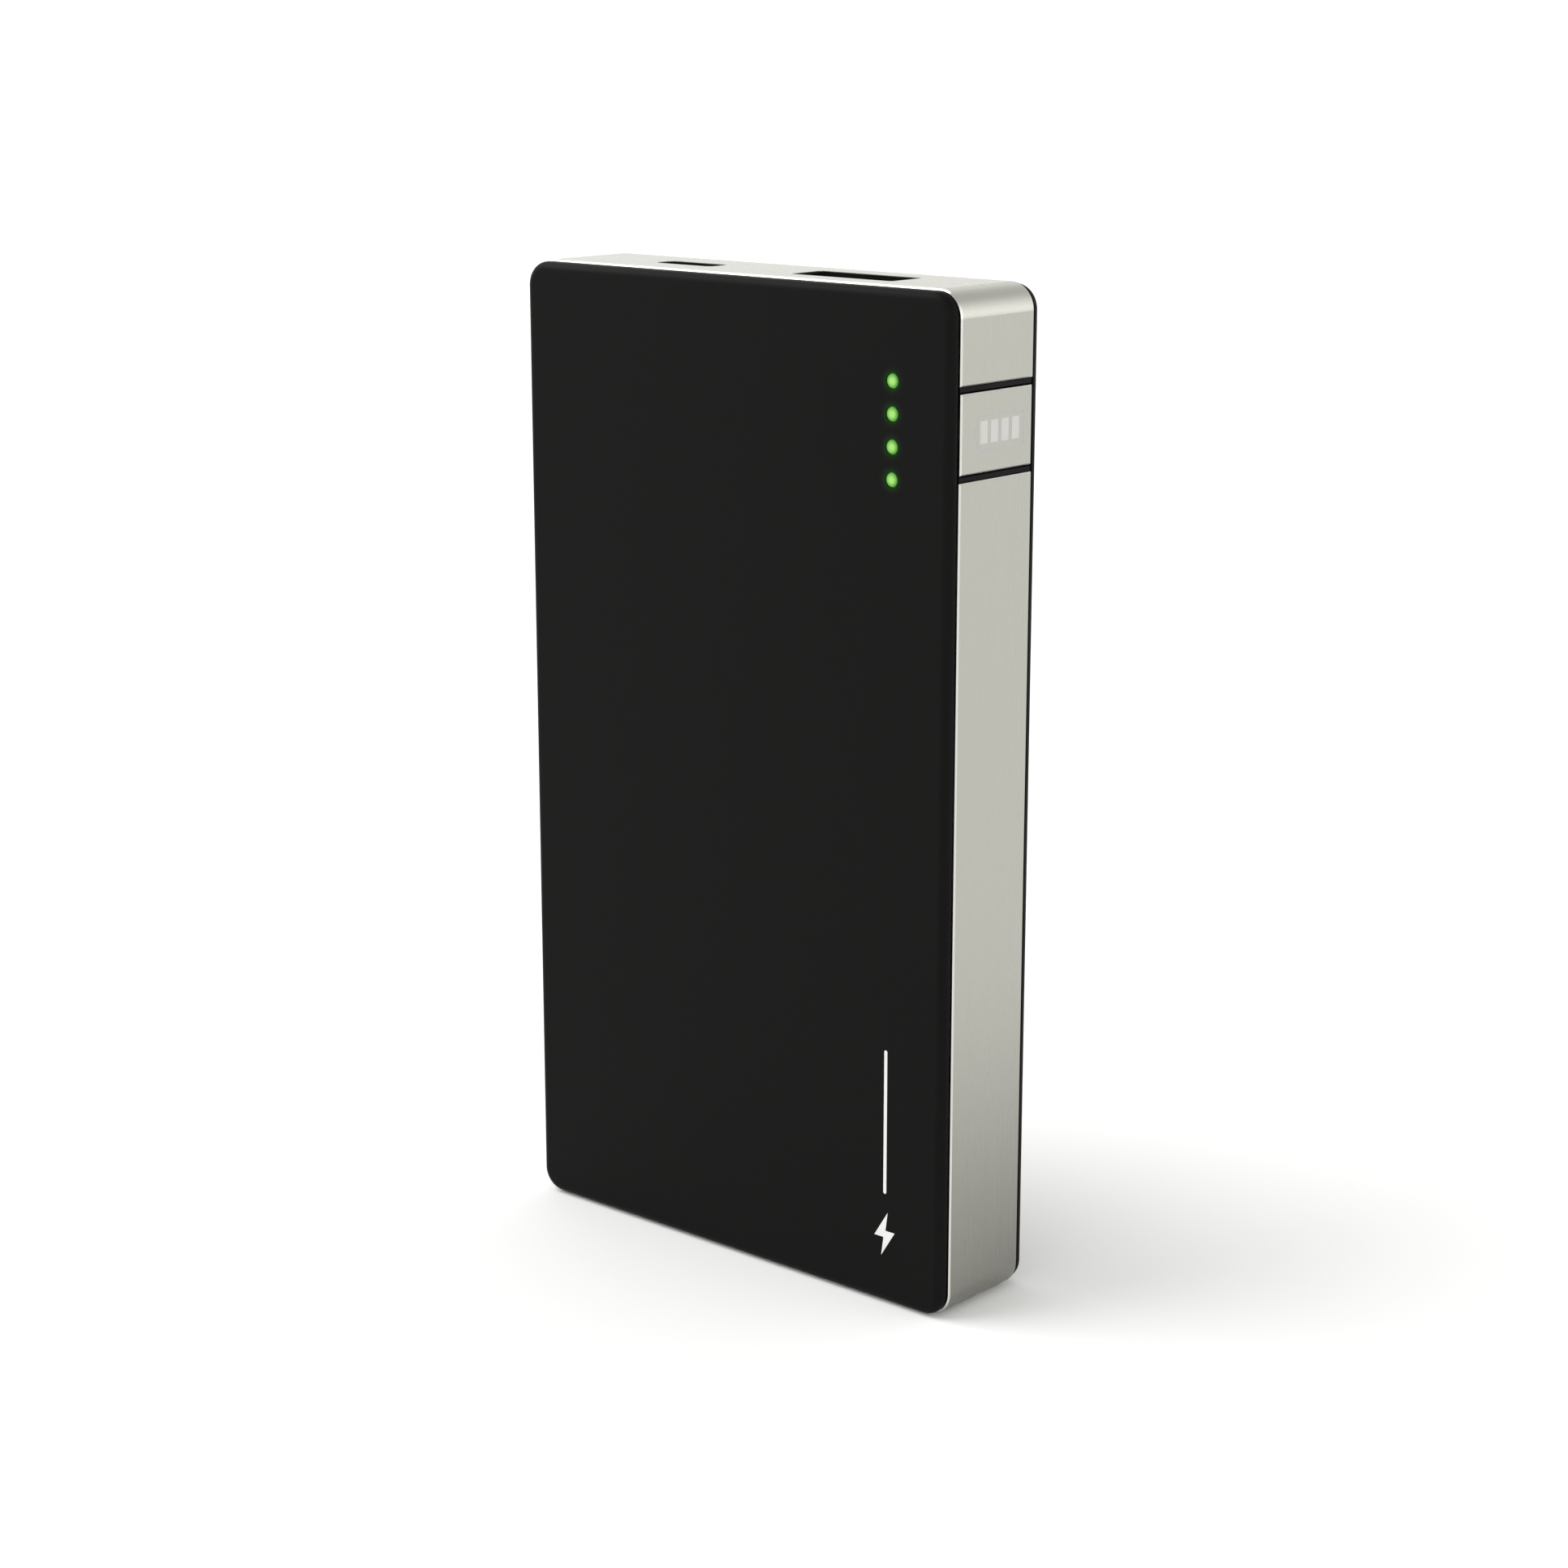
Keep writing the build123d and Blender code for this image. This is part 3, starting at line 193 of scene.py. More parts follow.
def brushed_lines():
    """Brushing that runs round the band: fine lines across Y, long along X and Z."""
    tree, start, end = group_tree(
        "Brushed Lines",
        [("Lines", "NodeSocketFloat", 9000.0), ("Length", "NodeSocketFloat", 60.0)],
        [("Height", "NodeSocketFloat"), ("Streak", "NodeSocketFloat")],
    )
    stretch = add_node(tree, "ShaderNodeCombineXYZ", X=start.outputs["Length"], Y=start.outputs["Lines"],
                       Z=start.outputs["Length"])
    place = object_place(tree, stretch.outputs[0])
    fine = add_node(tree, "ShaderNodeTexNoise", Vector=place, Scale=1.0, Detail=2.0, Roughness=0.5)
    broad = add_node(tree, "ShaderNodeTexNoise",
                     Vector=add_node(tree, "ShaderNodeVectorMath", {"operation": "MULTIPLY"}, i0=place,
                                     i1=(0.5, 0.09, 0.5)).outputs[0],
                     Scale=1.0, Detail=3.0, Roughness=0.5)
    tree.links.new(fine.outputs[0], end.inputs["Height"])
    tree.links.new(maths(tree, "MULTIPLY_ADD", broad.outputs[0], 0.6,
                         maths(tree, "MULTIPLY", fine.outputs[0], 0.4)), end.inputs["Streak"])
    return tree


def band_edges():
    """1 on the polished bevels: near the two long edges of the band, and beside the button's gap."""
    tree, start, end = group_tree(
        "Polished Edges",
        [("Half Width", "NodeSocketFloat", 0.006), ("Low End", "NodeSocketFloat", 0.0),
         ("High End", "NodeSocketFloat", 0.0), ("Bevel", "NodeSocketFloat", BEVEL)],
        [("Mask", "NodeSocketFloat")],
    )
    parts = object_parts(tree)
    side = maths(tree, "ABSOLUTE", parts["Y"])
    inner = maths(tree, "SUBTRACT", start.outputs["Half Width"], start.outputs["Bevel"])
    long_edge = maths(tree, "GREATER_THAN", side, maths(tree, "ADD", inner, EDGE_SLACK))
    near = []
    for label in ("Low End", "High End"):
        away = maths(tree, "ABSOLUTE", maths(tree, "SUBTRACT", parts["Z"], start.outputs[label]))
        reach = maths(tree, "SUBTRACT", start.outputs["Bevel"], EDGE_SLACK)
        near.append(maths(tree, "LESS_THAN", away, reach))
    outside = maths(tree, "GREATER_THAN", parts["X"], CASE_HIGH.x - 0.5 * MM)
    short_edge = maths(tree, "MULTIPLY", maths(tree, "MAXIMUM", near[0], near[1]), outside)
    tree.links.new(maths(tree, "MAXIMUM", long_edge, short_edge), end.inputs["Mask"])
    return tree


def light_spots():
    """Falls from 1 at the middle of each charge light to 0 at Reach from it."""
    tree, start, end = group_tree(
        "Light Spots",
        [("Reach", "NodeSocketFloat", 0.001)],
        [("Falloff", "NodeSocketFloat")],
    )
    parts = object_parts(tree)
    steps = maths(tree, "DIVIDE", maths(tree, "SUBTRACT", parts["Z"], FIRST_LIGHT_Z), LIGHT_PITCH)
    index = maths(tree, "MAXIMUM", maths(tree, "ROUND", steps), 0.0)
    index = maths(tree, "MINIMUM", index, LIGHT_COUNT - 1.0)
    up = maths(tree, "MULTIPLY", maths(tree, "SUBTRACT", steps, index), LIGHT_PITCH)
    across = maths(tree, "SUBTRACT", parts["X"], LIGHT_X)
    away = maths(tree, "SQRT", maths(tree, "ADD", maths(tree, "MULTIPLY", up, up),
                                     maths(tree, "MULTIPLY", across, across)))
    fade = maths(tree, "SUBTRACT", 1.0, maths(tree, "DIVIDE", away, start.outputs["Reach"]), clamp=True)
    tree.links.new(fade, end.inputs["Falloff"])
    return tree


GROUPS = {}


def group(name):
    """The shader group of that name, built the first time it is used."""
    makers = {"grain": moulded_grain, "brushed": brushed_lines, "edges": band_edges, "spots": light_spots}
    if name not in GROUPS:
        GROUPS[name] = makers[name]()
    return GROUPS[name]


def use_group(tree, name, **values):
    """A group placed in a material with its own values."""
    node = tree.nodes.new("ShaderNodeGroup")
    node.node_tree = group(name)
    for label, value in values.items():
        node.inputs[label.replace("_", " ")].default_value = value
    return node


# ------- materials
def new_material(name, colour, roughness, metallic=0.0, **sockets):
    """A material with one Principled shader. What is the same all over sits on its own sockets."""
    material = bpy.data.materials.new(name)
    material.use_nodes = True
    tree = material.node_tree
    shader = tree.nodes["Principled BSDF"]
    shader.inputs["Base Color"].default_value = (*colour, 1.0)
    shader.inputs["Roughness"].default_value = roughness
    shader.inputs["Metallic"].default_value = metallic
    for label, value in sockets.items():
        shader.inputs[label.replace("_", " ")].default_value = value
    return material, tree, shader


def feed(shader, **values):
    """Links results to the shader's sockets, by name."""
    for label, value in values.items():
        shader.id_data.links.new(value, shader.inputs[label.replace("_", " ")])


def bump(tree, shader, height, strength, depth):
    """Feeds a height to the shader's normal."""
    node = add_node(tree, "ShaderNodeBump", Height=height, Strength=strength, Distance=depth)
    feed(shader, Normal=node.outputs["Normal"])


def blend_colours(tree, mask, first, second):
    """The result of mixing two colours by a mask."""
    node = tree.nodes.new("ShaderNodeMix")
    node.data_type = "RGBA"
    for socket, value in ((node.inputs[0], mask), (node.inputs[6], first), (node.inputs[7], second)):
        if isinstance(value, bpy.types.NodeSocket):
            tree.links.new(value, socket)
        elif isinstance(value, (int, float)):
            socket.default_value = value
        else:
            socket.default_value = (*value[:3], 1.0)
    return node.outputs[2]


def ranged(tree, value, low, high, from_low=0.3, from_high=0.7):
    """A value spread from one range to another."""
    node = add_node(tree, "ShaderNodeMapRange", Value=value, From_Min=from_low, From_Max=from_high,
                    To_Min=low, To_Max=high)
    return node.outputs["Result"]


def shaded(colour, factor):
    """A colour made lighter or darker."""
    return tuple(min(channel * factor, 1.0) for channel in colour[:3])


def mottled(tree, tone, colour, first, second):
    """A colour that drifts with a tone from one shade of itself to another."""
    return blend_colours(tree, ranged(tree, tone, 0.0, 1.0), shaded(colour, first), shaded(colour, second))


def grained(tree, shader, grains, drift, strength, depth):
    """Puts fine grain on the shader's normal, and gives the tone that drifts over the surface."""
    grain = use_group(tree, "grain", Grains=grains, Drift=drift)
    bump(tree, shader, grain.outputs["Height"], strength, depth)
    return grain.outputs["Tone"]


def soft_black(name, case, lit):
    """The covers' soft-touch black: fine grain, faint drifts, and the lights' glow round the holes."""
    material, tree, shader = new_material(name, case.cover_colour, 0.52, Specular_IOR_Level=0.062)
    tone = grained(tree, shader, 5200.0, 45.0, 0.3, case.grain_depth)
    feed(shader, Roughness=ranged(tree, tone, 0.46, 0.58))
    feed(shader, Base_Color=mottled(tree, tone, case.cover_colour, 1.0, 1.3))
    if lit:
        # painted light: the cover itself emits the charge lights' green glow round each hole
        spots = use_group(tree, "spots", Reach=GLOW_REACH)
        glow = maths(tree, "POWER", spots.outputs["Falloff"], 3.0)
        feed(shader, Emission_Color=blend_colours(tree, glow, (0.0, 0.0, 0.0), case.glow_colour))
        shader.inputs["Emission Strength"].default_value = 0.7
    return material


def satin_metal(name, case, half_width, ends):
    """Brushed aluminium with polished bevels. The brushing runs round the case, and painted shade darkens the
    colour towards the bottom.
    """
    material, tree, shader = new_material(name, case.band_colour, case.band_roughness, 1.0,
                                          Anisotropic=0.8, Anisotropic_Rotation=0.25)
    around = add_node(tree, "ShaderNodeTangent", {"direction_type": "RADIAL", "axis": "Y"})
    feed(shader, Tangent=around.outputs[0])
    lines = use_group(tree, "brushed", Lines=BRUSH_LINES, Length=BRUSH_LENGTH)
    edges = use_group(tree, "edges", Half_Width=half_width, Low_End=ends[0], High_End=ends[1], Bevel=BEVEL)
    bump(tree, shader, lines.outputs["Height"], 0.03, 0.02 * MM)
    parts = object_parts(tree)
    # painted shade: the colour darkens smoothly from about a third of the case's height down to its foot
    drift = add_node(tree, "ShaderNodeMapRange", {"interpolation_type": "SMOOTHSTEP"}, Value=parts["Z"],
                     From_Min=-12.0 * MM, From_Max=CASE_HIGH.z * 0.36)
    # the tone mixes the brushing streaks, which are real, with that painted shade
    tone = maths(tree, "MULTIPLY_ADD", ranged(tree, lines.outputs["Streak"], 0.0, 1.0), 0.07,
                 maths(tree, "MULTIPLY", drift.outputs["Result"], 0.93))
    base = blend_colours(tree, tone, shaded(case.band_colour, 0.62), shaded(case.band_colour, 1.02))
    feed(shader, Base_Color=blend_colours(tree, edges.outputs["Mask"], base, case.bevel_colour))
    satin = ranged(tree, lines.outputs["Streak"], case.band_roughness - 0.02, case.band_roughness + 0.03)
    polished = add_node(tree, "ShaderNodeMix", i0=edges.outputs["Mask"], i2=satin, i3=0.2)
    feed(shader, Roughness=polished.outputs[0])
    return material


def moulded(name, colour, roughness=0.5, grains=3000.0, specular=0.4, depth=0.02 * MM):
    """Plain moulded plastic with fine grain."""
    material, tree, shader = new_material(name, colour, roughness, Specular_IOR_Level=specular)
    tone = grained(tree, shader, grains, 120.0, 0.25, depth)
    feed(shader, Roughness=ranged(tree, tone, roughness - 0.06, roughness + 0.08))
    feed(shader, Base_Color=mottled(tree, tone, colour, 0.85, 1.1))
    return material


def sheet_metal(name, colour, roughness=0.28, lines=3500.0):
    """Plated or rolled sheet metal with faint rolling lines."""
    material, tree, shader = new_material(name, colour, roughness, 1.0)
    streaks = use_group(tree, "brushed", Lines=lines, Length=300.0)
    bump(tree, shader, streaks.outputs["Height"], 0.05, 0.01 * MM)
    feed(shader, Roughness=ranged(tree, streaks.outputs["Streak"], roughness - 0.06, roughness + 0.1))
    feed(shader, Base_Color=mottled(tree, streaks.outputs["Streak"], colour, 0.85, 1.0))
    return material


def lit_guide(name, case):
    """The clear light guide: bright in the middle of each end, a deeper green round it."""
    material, tree, shader = new_material(name, shaded(case.glow_colour, 0.3), 0.3, Specular_IOR_Level=0.3)
    spots = use_group(tree, "spots", Reach=CORE_REACH)
    core = add_node(tree, "ShaderNodeMapRange", {"interpolation_type": "SMOOTHSTEP"},
                    Value=spots.outputs["Falloff"], From_Min=0.03, From_Max=0.8)
    lit = blend_colours(tree, core.outputs["Result"], case.glow_colour, case.light_colour)
    feed(shader, Emission_Color=lit)
    shader.inputs["Emission Strength"].default_value = case.light_strength
    return material


def printed(name, colour, roughness=0.5):
    """Printed ink with a faintly uneven surface."""
    material, tree, shader = new_material(name, colour, roughness, Specular_IOR_Level=0.3)
    tone = grained(tree, shader, **INK_GRAIN)
    feed(shader, Base_Color=mottled(tree, tone, colour, 0.93, 1.0))
    return material


def symbol_ink(name, case):
    """The button's symbol: the bars in full ink, and the thin frame round them fainter."""
    material, tree, shader = new_material(name, case.icon_colour, 0.5, Specular_IOR_Level=0.3)
    low, high = span("battery_icon")
    parts = object_parts(tree)
    up = maths(tree, "COMPARE", parts["Z"], (low.z + high.z) / 2, (high.z - low.z) / 2 - 0.4 * MM)
    along = maths(tree, "COMPARE", parts["Y"], high.y - 4.0 * MM, 3.5 * MM)
    grained(tree, shader, **INK_GRAIN)
    bars = maths(tree, "MULTIPLY", up, along)
    feed(shader, Base_Color=blend_colours(tree, bars, shaded(case.icon_colour, 0.78), case.icon_colour))
    return material


def solder_mask(name, colour):
    """Lacquered circuit board: traces seen through the lacquer, and small plated holes with painted shade
    dark in their middles.
    """
    material, tree, shader = new_material(name, colour, 0.3, Coat_Weight=0.25, Coat_Roughness=0.12)
    flat = add_node(tree, "ShaderNodeMapping", Vector=object_place(tree), Rotation=(math.pi / 2, 0.0, 0.0))
    upright = add_node(tree, "ShaderNodeMapping", Vector=flat.outputs[0], Rotation=(0.0, 0.0, math.pi / 2))
    lines = []
    for place, width in ((flat, 7.0), (upright, 5.0)):
        bricks = add_node(tree, "ShaderNodeTexBrick", {"offset": 0.37, "squash": 0.4, "squash_frequency": 5},
                          Vector=place.outputs[0], Scale=520.0, Mortar_Size=0.05, Mortar_Smooth=0.2,
                          Brick_Width=width, Row_Height=0.34)
        lines.append(bricks.outputs["Fac"])
    patches = add_node(tree, "ShaderNodeTexVoronoi", Vector=flat.outputs[0], Scale=130.0)
    tint = add_node(tree, "ShaderNodeSeparateColor", i0=patches.outputs["Color"]).outputs
    across = maths(tree, "MULTIPLY", lines[0], maths(tree, "LESS_THAN", tint["Red"], 0.35))
    along = maths(tree, "MULTIPLY", lines[1], maths(tree, "GREATER_THAN", tint["Red"], 0.62))
    traces = maths(tree, "MAXIMUM", across, along)
    holes = add_node(tree, "ShaderNodeTexVoronoi", Vector=flat.outputs[0], Scale=430.0, Randomness=0.7)
    ring = maths(tree, "COMPARE", holes.outputs["Distance"], 0.1, 0.035)
    # painted shade: the open middle of each plated hole is coloured near black
    painted_hole_shade = maths(tree, "LESS_THAN", holes.outputs["Distance"], 0.065)
    trace = blend_colours(tree, traces, colour, shaded(colour, 1.8))
    plated = blend_colours(tree, ring, trace, (0.75, 0.55, 0.25))
    feed(shader, Base_Color=blend_colours(tree, painted_hole_shade, plated, (0.01, 0.01, 0.01)))
    feed(shader, Metallic=ring)
    bump(tree, shader, maths(tree, "ADD", traces, ring), 0.5, 0.03 * MM)
    return material


def marked(name, colour, roughness, mask_maker, paint):
    """Moulded epoxy with one painted or moulded mark, from a mask in Object coordinates."""
    material, tree, shader = new_material(name, colour, roughness, Specular_IOR_Level=0.35)
    epoxy = mottled(tree, grained(tree, shader, 6000.0, 700.0, 0.35, 0.02 * MM), colour, 0.85, 1.1)
    mark = mask_maker(tree, object_parts(tree))
    feed(shader, Base_Color=blend_colours(tree, mark, epoxy, paint))
    return material


def dot_at(x, z, radius):
    """A mask maker: 1 inside a round dot seen along Y."""
    def mask(tree, parts):
        across = maths(tree, "SUBTRACT", parts["X"], x)
        up = maths(tree, "SUBTRACT", parts["Z"], z)
        away = maths(tree, "ADD", maths(tree, "MULTIPLY", across, across), maths(tree, "MULTIPLY", up, up))
        return maths(tree, "LESS_THAN", away, radius * radius)
    return mask


def stripe_before(axis, place):
    """A mask maker: 1 before a place along an axis."""
    def mask(tree, parts):
        return maths(tree, "LESS_THAN", parts[axis], place)
    return mask


def foam(name, colour):
    """Closed-cell foam: pores that dent the surface. The colour is darker in the dents, which is painted
    shade, and lighter on the rims between.
    """
    material, tree, shader = new_material(name, colour, 0.85, Specular_IOR_Level=0.15, Sheen_Weight=0.2)
    pores = add_node(tree, "ShaderNodeTexVoronoi", Vector=object_place(tree), Scale=2200.0)
    bump(tree, shader, pores.outputs["Distance"], 0.6, 0.08 * MM)
    # painted shade: the colour darkens into each dented pore and lightens on the rims between them
    feed(shader, Base_Color=blend_colours(tree, pores.outputs["Distance"], shaded(colour, 0.55),
                                          shaded(colour, 1.4)))
    return material


def pouch_foil(name, colour, crimped):
    """Laminated foil: fine matte grain and shallow creases, with crimp lines on the sealed edges."""
    material, tree, shader = new_material(name, colour, 0.36, 1.0)
    grain = use_group(tree, "grain", Grains=4200.0, Drift=90.0)
    height = grain.outputs["Height"]
    if crimped:
        parts = object_parts(tree)
        slant = maths(tree, "ADD", parts["X"], parts["Z"])
        height = maths(tree, "ADD", height, maths(tree, "SINE", maths(tree, "MULTIPLY", slant, 9000.0)))
    bump(tree, shader, height, 0.3, 0.04 * MM)
    feed(shader, Roughness=ranged(tree, grain.outputs["Tone"], 0.3, 0.44))
    feed(shader, Base_Color=mottled(tree, grain.outputs["Tone"], colour, 0.86, 1.05))
    return material


def finish_node(material, *nodes):
    """Gives CAD nodes their material."""
    for node in nodes:
        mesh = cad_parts[node].data
        mesh.materials.clear()
        mesh.materials.append(material)


# ------- making pieces
def new_piece(name, shape, material, replaces=()):
    """A piece of the housing from a bmesh, at the origin. It may stand for CAD nodes."""
    mesh = bpy.data.meshes.new(name)
    bmesh.ops.recalc_face_normals(shape, faces=shape.faces)
    shape.to_mesh(mesh)
    shape.free()
    mesh.materials.append(material)
    mesh.shade_smooth()
    piece = bpy.data.objects.new(name, mesh)
    bpy.context.scene.collection.objects.link(piece)
    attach(piece, "housing")
    if replaces:
        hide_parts(*replaces)
    return piece


def smooth(piece, levels):
    """A live Subdivision Surface."""
    step = piece.modifiers.new("Smooth", "SUBSURF")
    step.levels = step.render_levels = levels


def round_edges(piece, width, segments=3):
    """A live Bevel on the sharp edges."""
    step = piece.modifiers.new("Round Edges", "BEVEL")
    step.width, step.segments, step.limit_method = width, segments, "ANGLE"


def thicken(piece, thickness):
    """A live Solidify, half to each side."""
    step = piece.modifiers.new("Thicken", "SOLIDIFY")
    step.thickness, step.offset = thickness, 0.0


def crease(piece, strength, size):
    """A live Displace that dents the surface inwards along soft clouds."""
    pattern = bpy.data.textures.new(piece.name + "_creases", "CLOUDS")
    pattern.noise_scale, pattern.noise_depth = size, 2
    step = piece.modifiers.new("Creases", "DISPLACE")
    step.texture, step.strength, step.mid_level = pattern, -strength, 0.0


def apply_stack(piece):
    """Turns a piece's modifiers into its mesh."""
    bpy.context.view_layer.update()
    done = bpy.data.meshes.new_from_object(piece.evaluated_get(bpy.context.evaluated_depsgraph_get()))
    piece.modifiers.clear()
    piece.data = done


def separate_boxes(node):
    """The corners of each separate body in a CAD node, from a merged copy of its mesh."""
    shape = bmesh.new()
    shape.from_mesh(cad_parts[node].data)
    bmesh.ops.remove_doubles(shape, verts=shape.verts, dist=2 * MERGE_DIST)
    left, boxes = set(shape.verts), []
    while left:
        found, reach = set(), [left.pop()]
        while reach:
            vert = reach.pop()
            found.add(vert)
            for edge in vert.link_edges:
                other = edge.other_vert(vert)
                if other in left:
                    left.discard(other)
                    reach.append(other)
        boxes.append(tuple(Vector(pick(vert.co[axis] for vert in found) for axis in range(3))
                           for pick in (min, max)))
    shape.free()
    return sorted(boxes, key=lambda corners: tuple(corners[0]))


def turned(name, profile, steps):
    """A mesh turned about Z from a profile of (radius, height) in mm that runs from top to bottom."""
    mesh = bpy.data.meshes.new(name)
    mesh.from_pydata([(radius * MM, 0.0, height * MM) for radius, height in profile],
                     [(i, i + 1) for i in range(len(profile) - 1)], [])
    helper = bpy.data.objects.new(name, mesh)
    bpy.context.scene.collection.objects.link(helper)
    screw = helper.modifiers.new("Turn", "SCREW")
    screw.steps = screw.render_steps = steps
    screw.use_merge_vertices, screw.merge_threshold = True, MERGE_DIST
    bpy.context.view_layer.update()
    done = bpy.data.meshes.new_from_object(helper.evaluated_get(bpy.context.evaluated_depsgraph_get()))
    bpy.data.objects.remove(helper)
    return done


def copies(mesh, places):
    """Copies of a mesh at several matrices, in one bmesh."""
    shape = bmesh.new()
    for place in places:
        before = len(shape.verts)
        shape.from_mesh(mesh)
        shape.verts.ensure_lookup_table()
        bmesh.ops.transform(shape, matrix=place, verts=shape.verts[before:])
    bmesh.ops.remove_doubles(shape, verts=shape.verts, dist=MERGE_DIST)
    return shape


def loft(rings):
    """A skin over rings of points, all with the same count, with closed ends."""
    shape = bmesh.new()
    rows = [[shape.verts.new(point) for point in ring] for ring in rings]
    for low, high in zip(rows, rows[1:]):
        for i in range(len(low)):
            j = (i + 1) % len(low)
            shape.faces.new((low[i], low[j], high[j], high[i]))
    for row in (rows[0], rows[-1]):
        centre = shape.verts.new(sum((vert.co for vert in row), Vector()) / len(row))
        for i in range(len(row)):
            shape.faces.new((row[i], row[(i + 1) % len(row)], centre))
    return shape


def sheet_strip(columns, shape=None):
    """An open strip of quads from columns of points, in a new shape or added to one."""
    shape = bmesh.new() if shape is None else shape
    rows = [[shape.verts.new(point) for point in column] for column in columns]
    for left, right in zip(rows, rows[1:]):
        for i in range(len(left) - 1):
            shape.faces.new((left[i], right[i], right[i + 1], left[i + 1]))
    return shape


# ------- what a user would change
class CaseSettings(PropertyGroup):
    """Colours and surface of the outside."""
    cover_colour: FloatVectorProperty(name="Cover Colour", description="Soft-touch black of both covers",
                                      subtype="COLOR", size=3, min=0, max=1, default=(0.0029, 0.0029, 0.0028))
    grain_depth: FloatProperty(name="Grain Depth", description="Depth of the covers' fine grain",
                               unit="LENGTH", default=0.02 * MM, min=0.0, precision=6)
    band_colour: FloatVectorProperty(name="Band Colour", description="Satin aluminium of the band and button",
                                     subtype="COLOR", size=3, min=0, max=1, default=(0.422, 0.420, 0.381))
    band_roughness: FloatProperty(name="Band Roughness", description="Roughness of the brushed faces",
                                  subtype="FACTOR", default=0.27, min=0.05, max=1.0)
    bevel_colour: FloatVectorProperty(name="Bevel Colour", description="Polished bevels of the band",
                                      subtype="COLOR", size=3, min=0, max=1, default=(0.62, 0.61, 0.58))
    light_colour: FloatVectorProperty(name="Light Colour", description="Middle of a lit charge light",
                                      subtype="COLOR", size=3, min=0, max=1, default=(0.38, 0.70, 0.17))
    glow_colour: FloatVectorProperty(name="Glow Colour", description="Rim of a lit charge light",
                                     subtype="COLOR", size=3, min=0, max=1, default=(0.03, 0.22, 0.01))
    light_strength: FloatProperty(name="Light Strength", description="How brightly the charge lights shine",
                                  default=1.0, min=0.0, max=20.0)
    mark_colour: FloatVectorProperty(name="Mark Colour", description="Ink of the printed mark",
                                     subtype="COLOR", size=3, min=0, max=1, default=(0.66, 0.66, 0.645))
    foil_colour: FloatVectorProperty(name="Foil Colour", description="Laminated foil of the pouch cell",
                                     subtype="COLOR", size=3, min=0, max=1, default=(0.5, 0.51, 0.53))
    icon_colour: FloatVectorProperty(name="Icon Colour", description="Ink of the button's symbol",
                                     subtype="COLOR", size=3, min=0, max=1, default=(0.49, 0.49, 0.48))


class StageSettings(PropertyGroup):
    """Camera, light and floor."""
    camera_place: FloatVectorProperty(name="Camera Place", description="Where the camera stands",
                                      subtype="TRANSLATION", size=3, default=(0.23203, -0.26265, 0.14121))
    camera_turn: FloatProperty(name="Camera Turn", description="How far the camera is turned from the front",
                               subtype="ANGLE", default=0.72018)
    camera_dip: FloatProperty(name="Camera Dip", description="How far the camera looks down",
                              subtype="ANGLE", default=0.24305)
    camera_lens: FloatProperty(name="Lens", description="Focal length on a 36 mm sensor, in millimetres",
                               default=73.22, min=1.0)
    floor_size: FloatProperty(name="Floor Size", description="Width of the floor", unit="LENGTH",
                              default=60.0)
    floor_colour: FloatVectorProperty(name="Floor Colour", description="Pale matte floor", subtype="COLOR",
                                      size=3, min=0, max=1, default=(0.88, 0.88, 0.875))
    sky_strength: FloatProperty(name="Surround Strength", description="Brightness of the studio all round",
                                default=2.0, min=0.0)
    sun_strength: FloatProperty(name="Key Strength", description="Brightness of the wide key light",
                                default=1.95, min=0.0)
    sun_width: FloatProperty(name="Key Width", description="How wide the key light is, seen from the case",
                             subtype="ANGLE", default=math.radians(48))


# ------- outside
class POWERBANK_OT_covers(Operator):
    """Finish the front and back covers and the printed mark"""
    bl_idname = "power_bank.covers"
    bl_label = "Covers"

    def execute(self, context):
        case = context.scene.power_bank_case
        finish_node(soft_black("Soft Black Front", case, lit=True), "front_cover")
        finish_node(soft_black("Soft Black Back", case, lit=False), "back_cover")
        finish_node(printed("White Ink", case.mark_colour), "charge_mark")
        return {"FINISHED"}


class POWERBANK_OT_band(Operator):
    """Finish the metal band, the button with its symbol, and the black pieces set into the band"""
    bl_idname = "power_bank.band"
    bl_label = "Band and Button"

    def execute(self, context):
        case = context.scene.power_bank_case
        ends = (CAP_LOW.z - RIB_GAP, CAP_HIGH.z + RIB_GAP)
        finish_node(satin_metal("Satin Band", case, BAND_HALF_WIDTH, ends), "metal_band")
        finish_node(satin_metal("Satin Button", case, CAP_HIGH.y, (CAP_LOW.z, CAP_HIGH.z)), "button_cap")
        finish_node(symbol_ink("Pale Ink", case), "battery_icon")
        finish_node(moulded("Trim Black", (0.002, 0.002, 0.002), 0.6, specular=0.1), "button_bezel",
                    "port_liners")
        finish_node(moulded("Carrier Grey", (0.03, 0.03, 0.032)), "button_carrier")
        return {"FINISHED"}


class POWERBANK_OT_lights(Operator):
    """Finish the charge lights and what guides them"""
    bl_idname = "power_bank.lights"
    bl_label = "Charge Lights"

    def execute(self, context):
        case = context.scene.power_bank_case
        finish_node(lit_guide("Lit Guide", case), "light_guide")
        finish_node(lit_guide("Lit Diode", case), "status_leds")
        finish_node(moulded("Shroud Grey", (0.02, 0.02, 0.02)), "light_shroud")
        return {"FINISHED"}


# ------- inside
# Radius and height of half a pressed bump, in millimetres, from its top to its foot.
BUMP_PROFILE = ((0.0, 0.36), (0.3, 0.33), (0.55, 0.2), (0.75, 0.04), (0.75, -0.12), (0.0, -0.12))
BUMP_STRETCH = (0.8, 1.7, 1.0, 1.0)


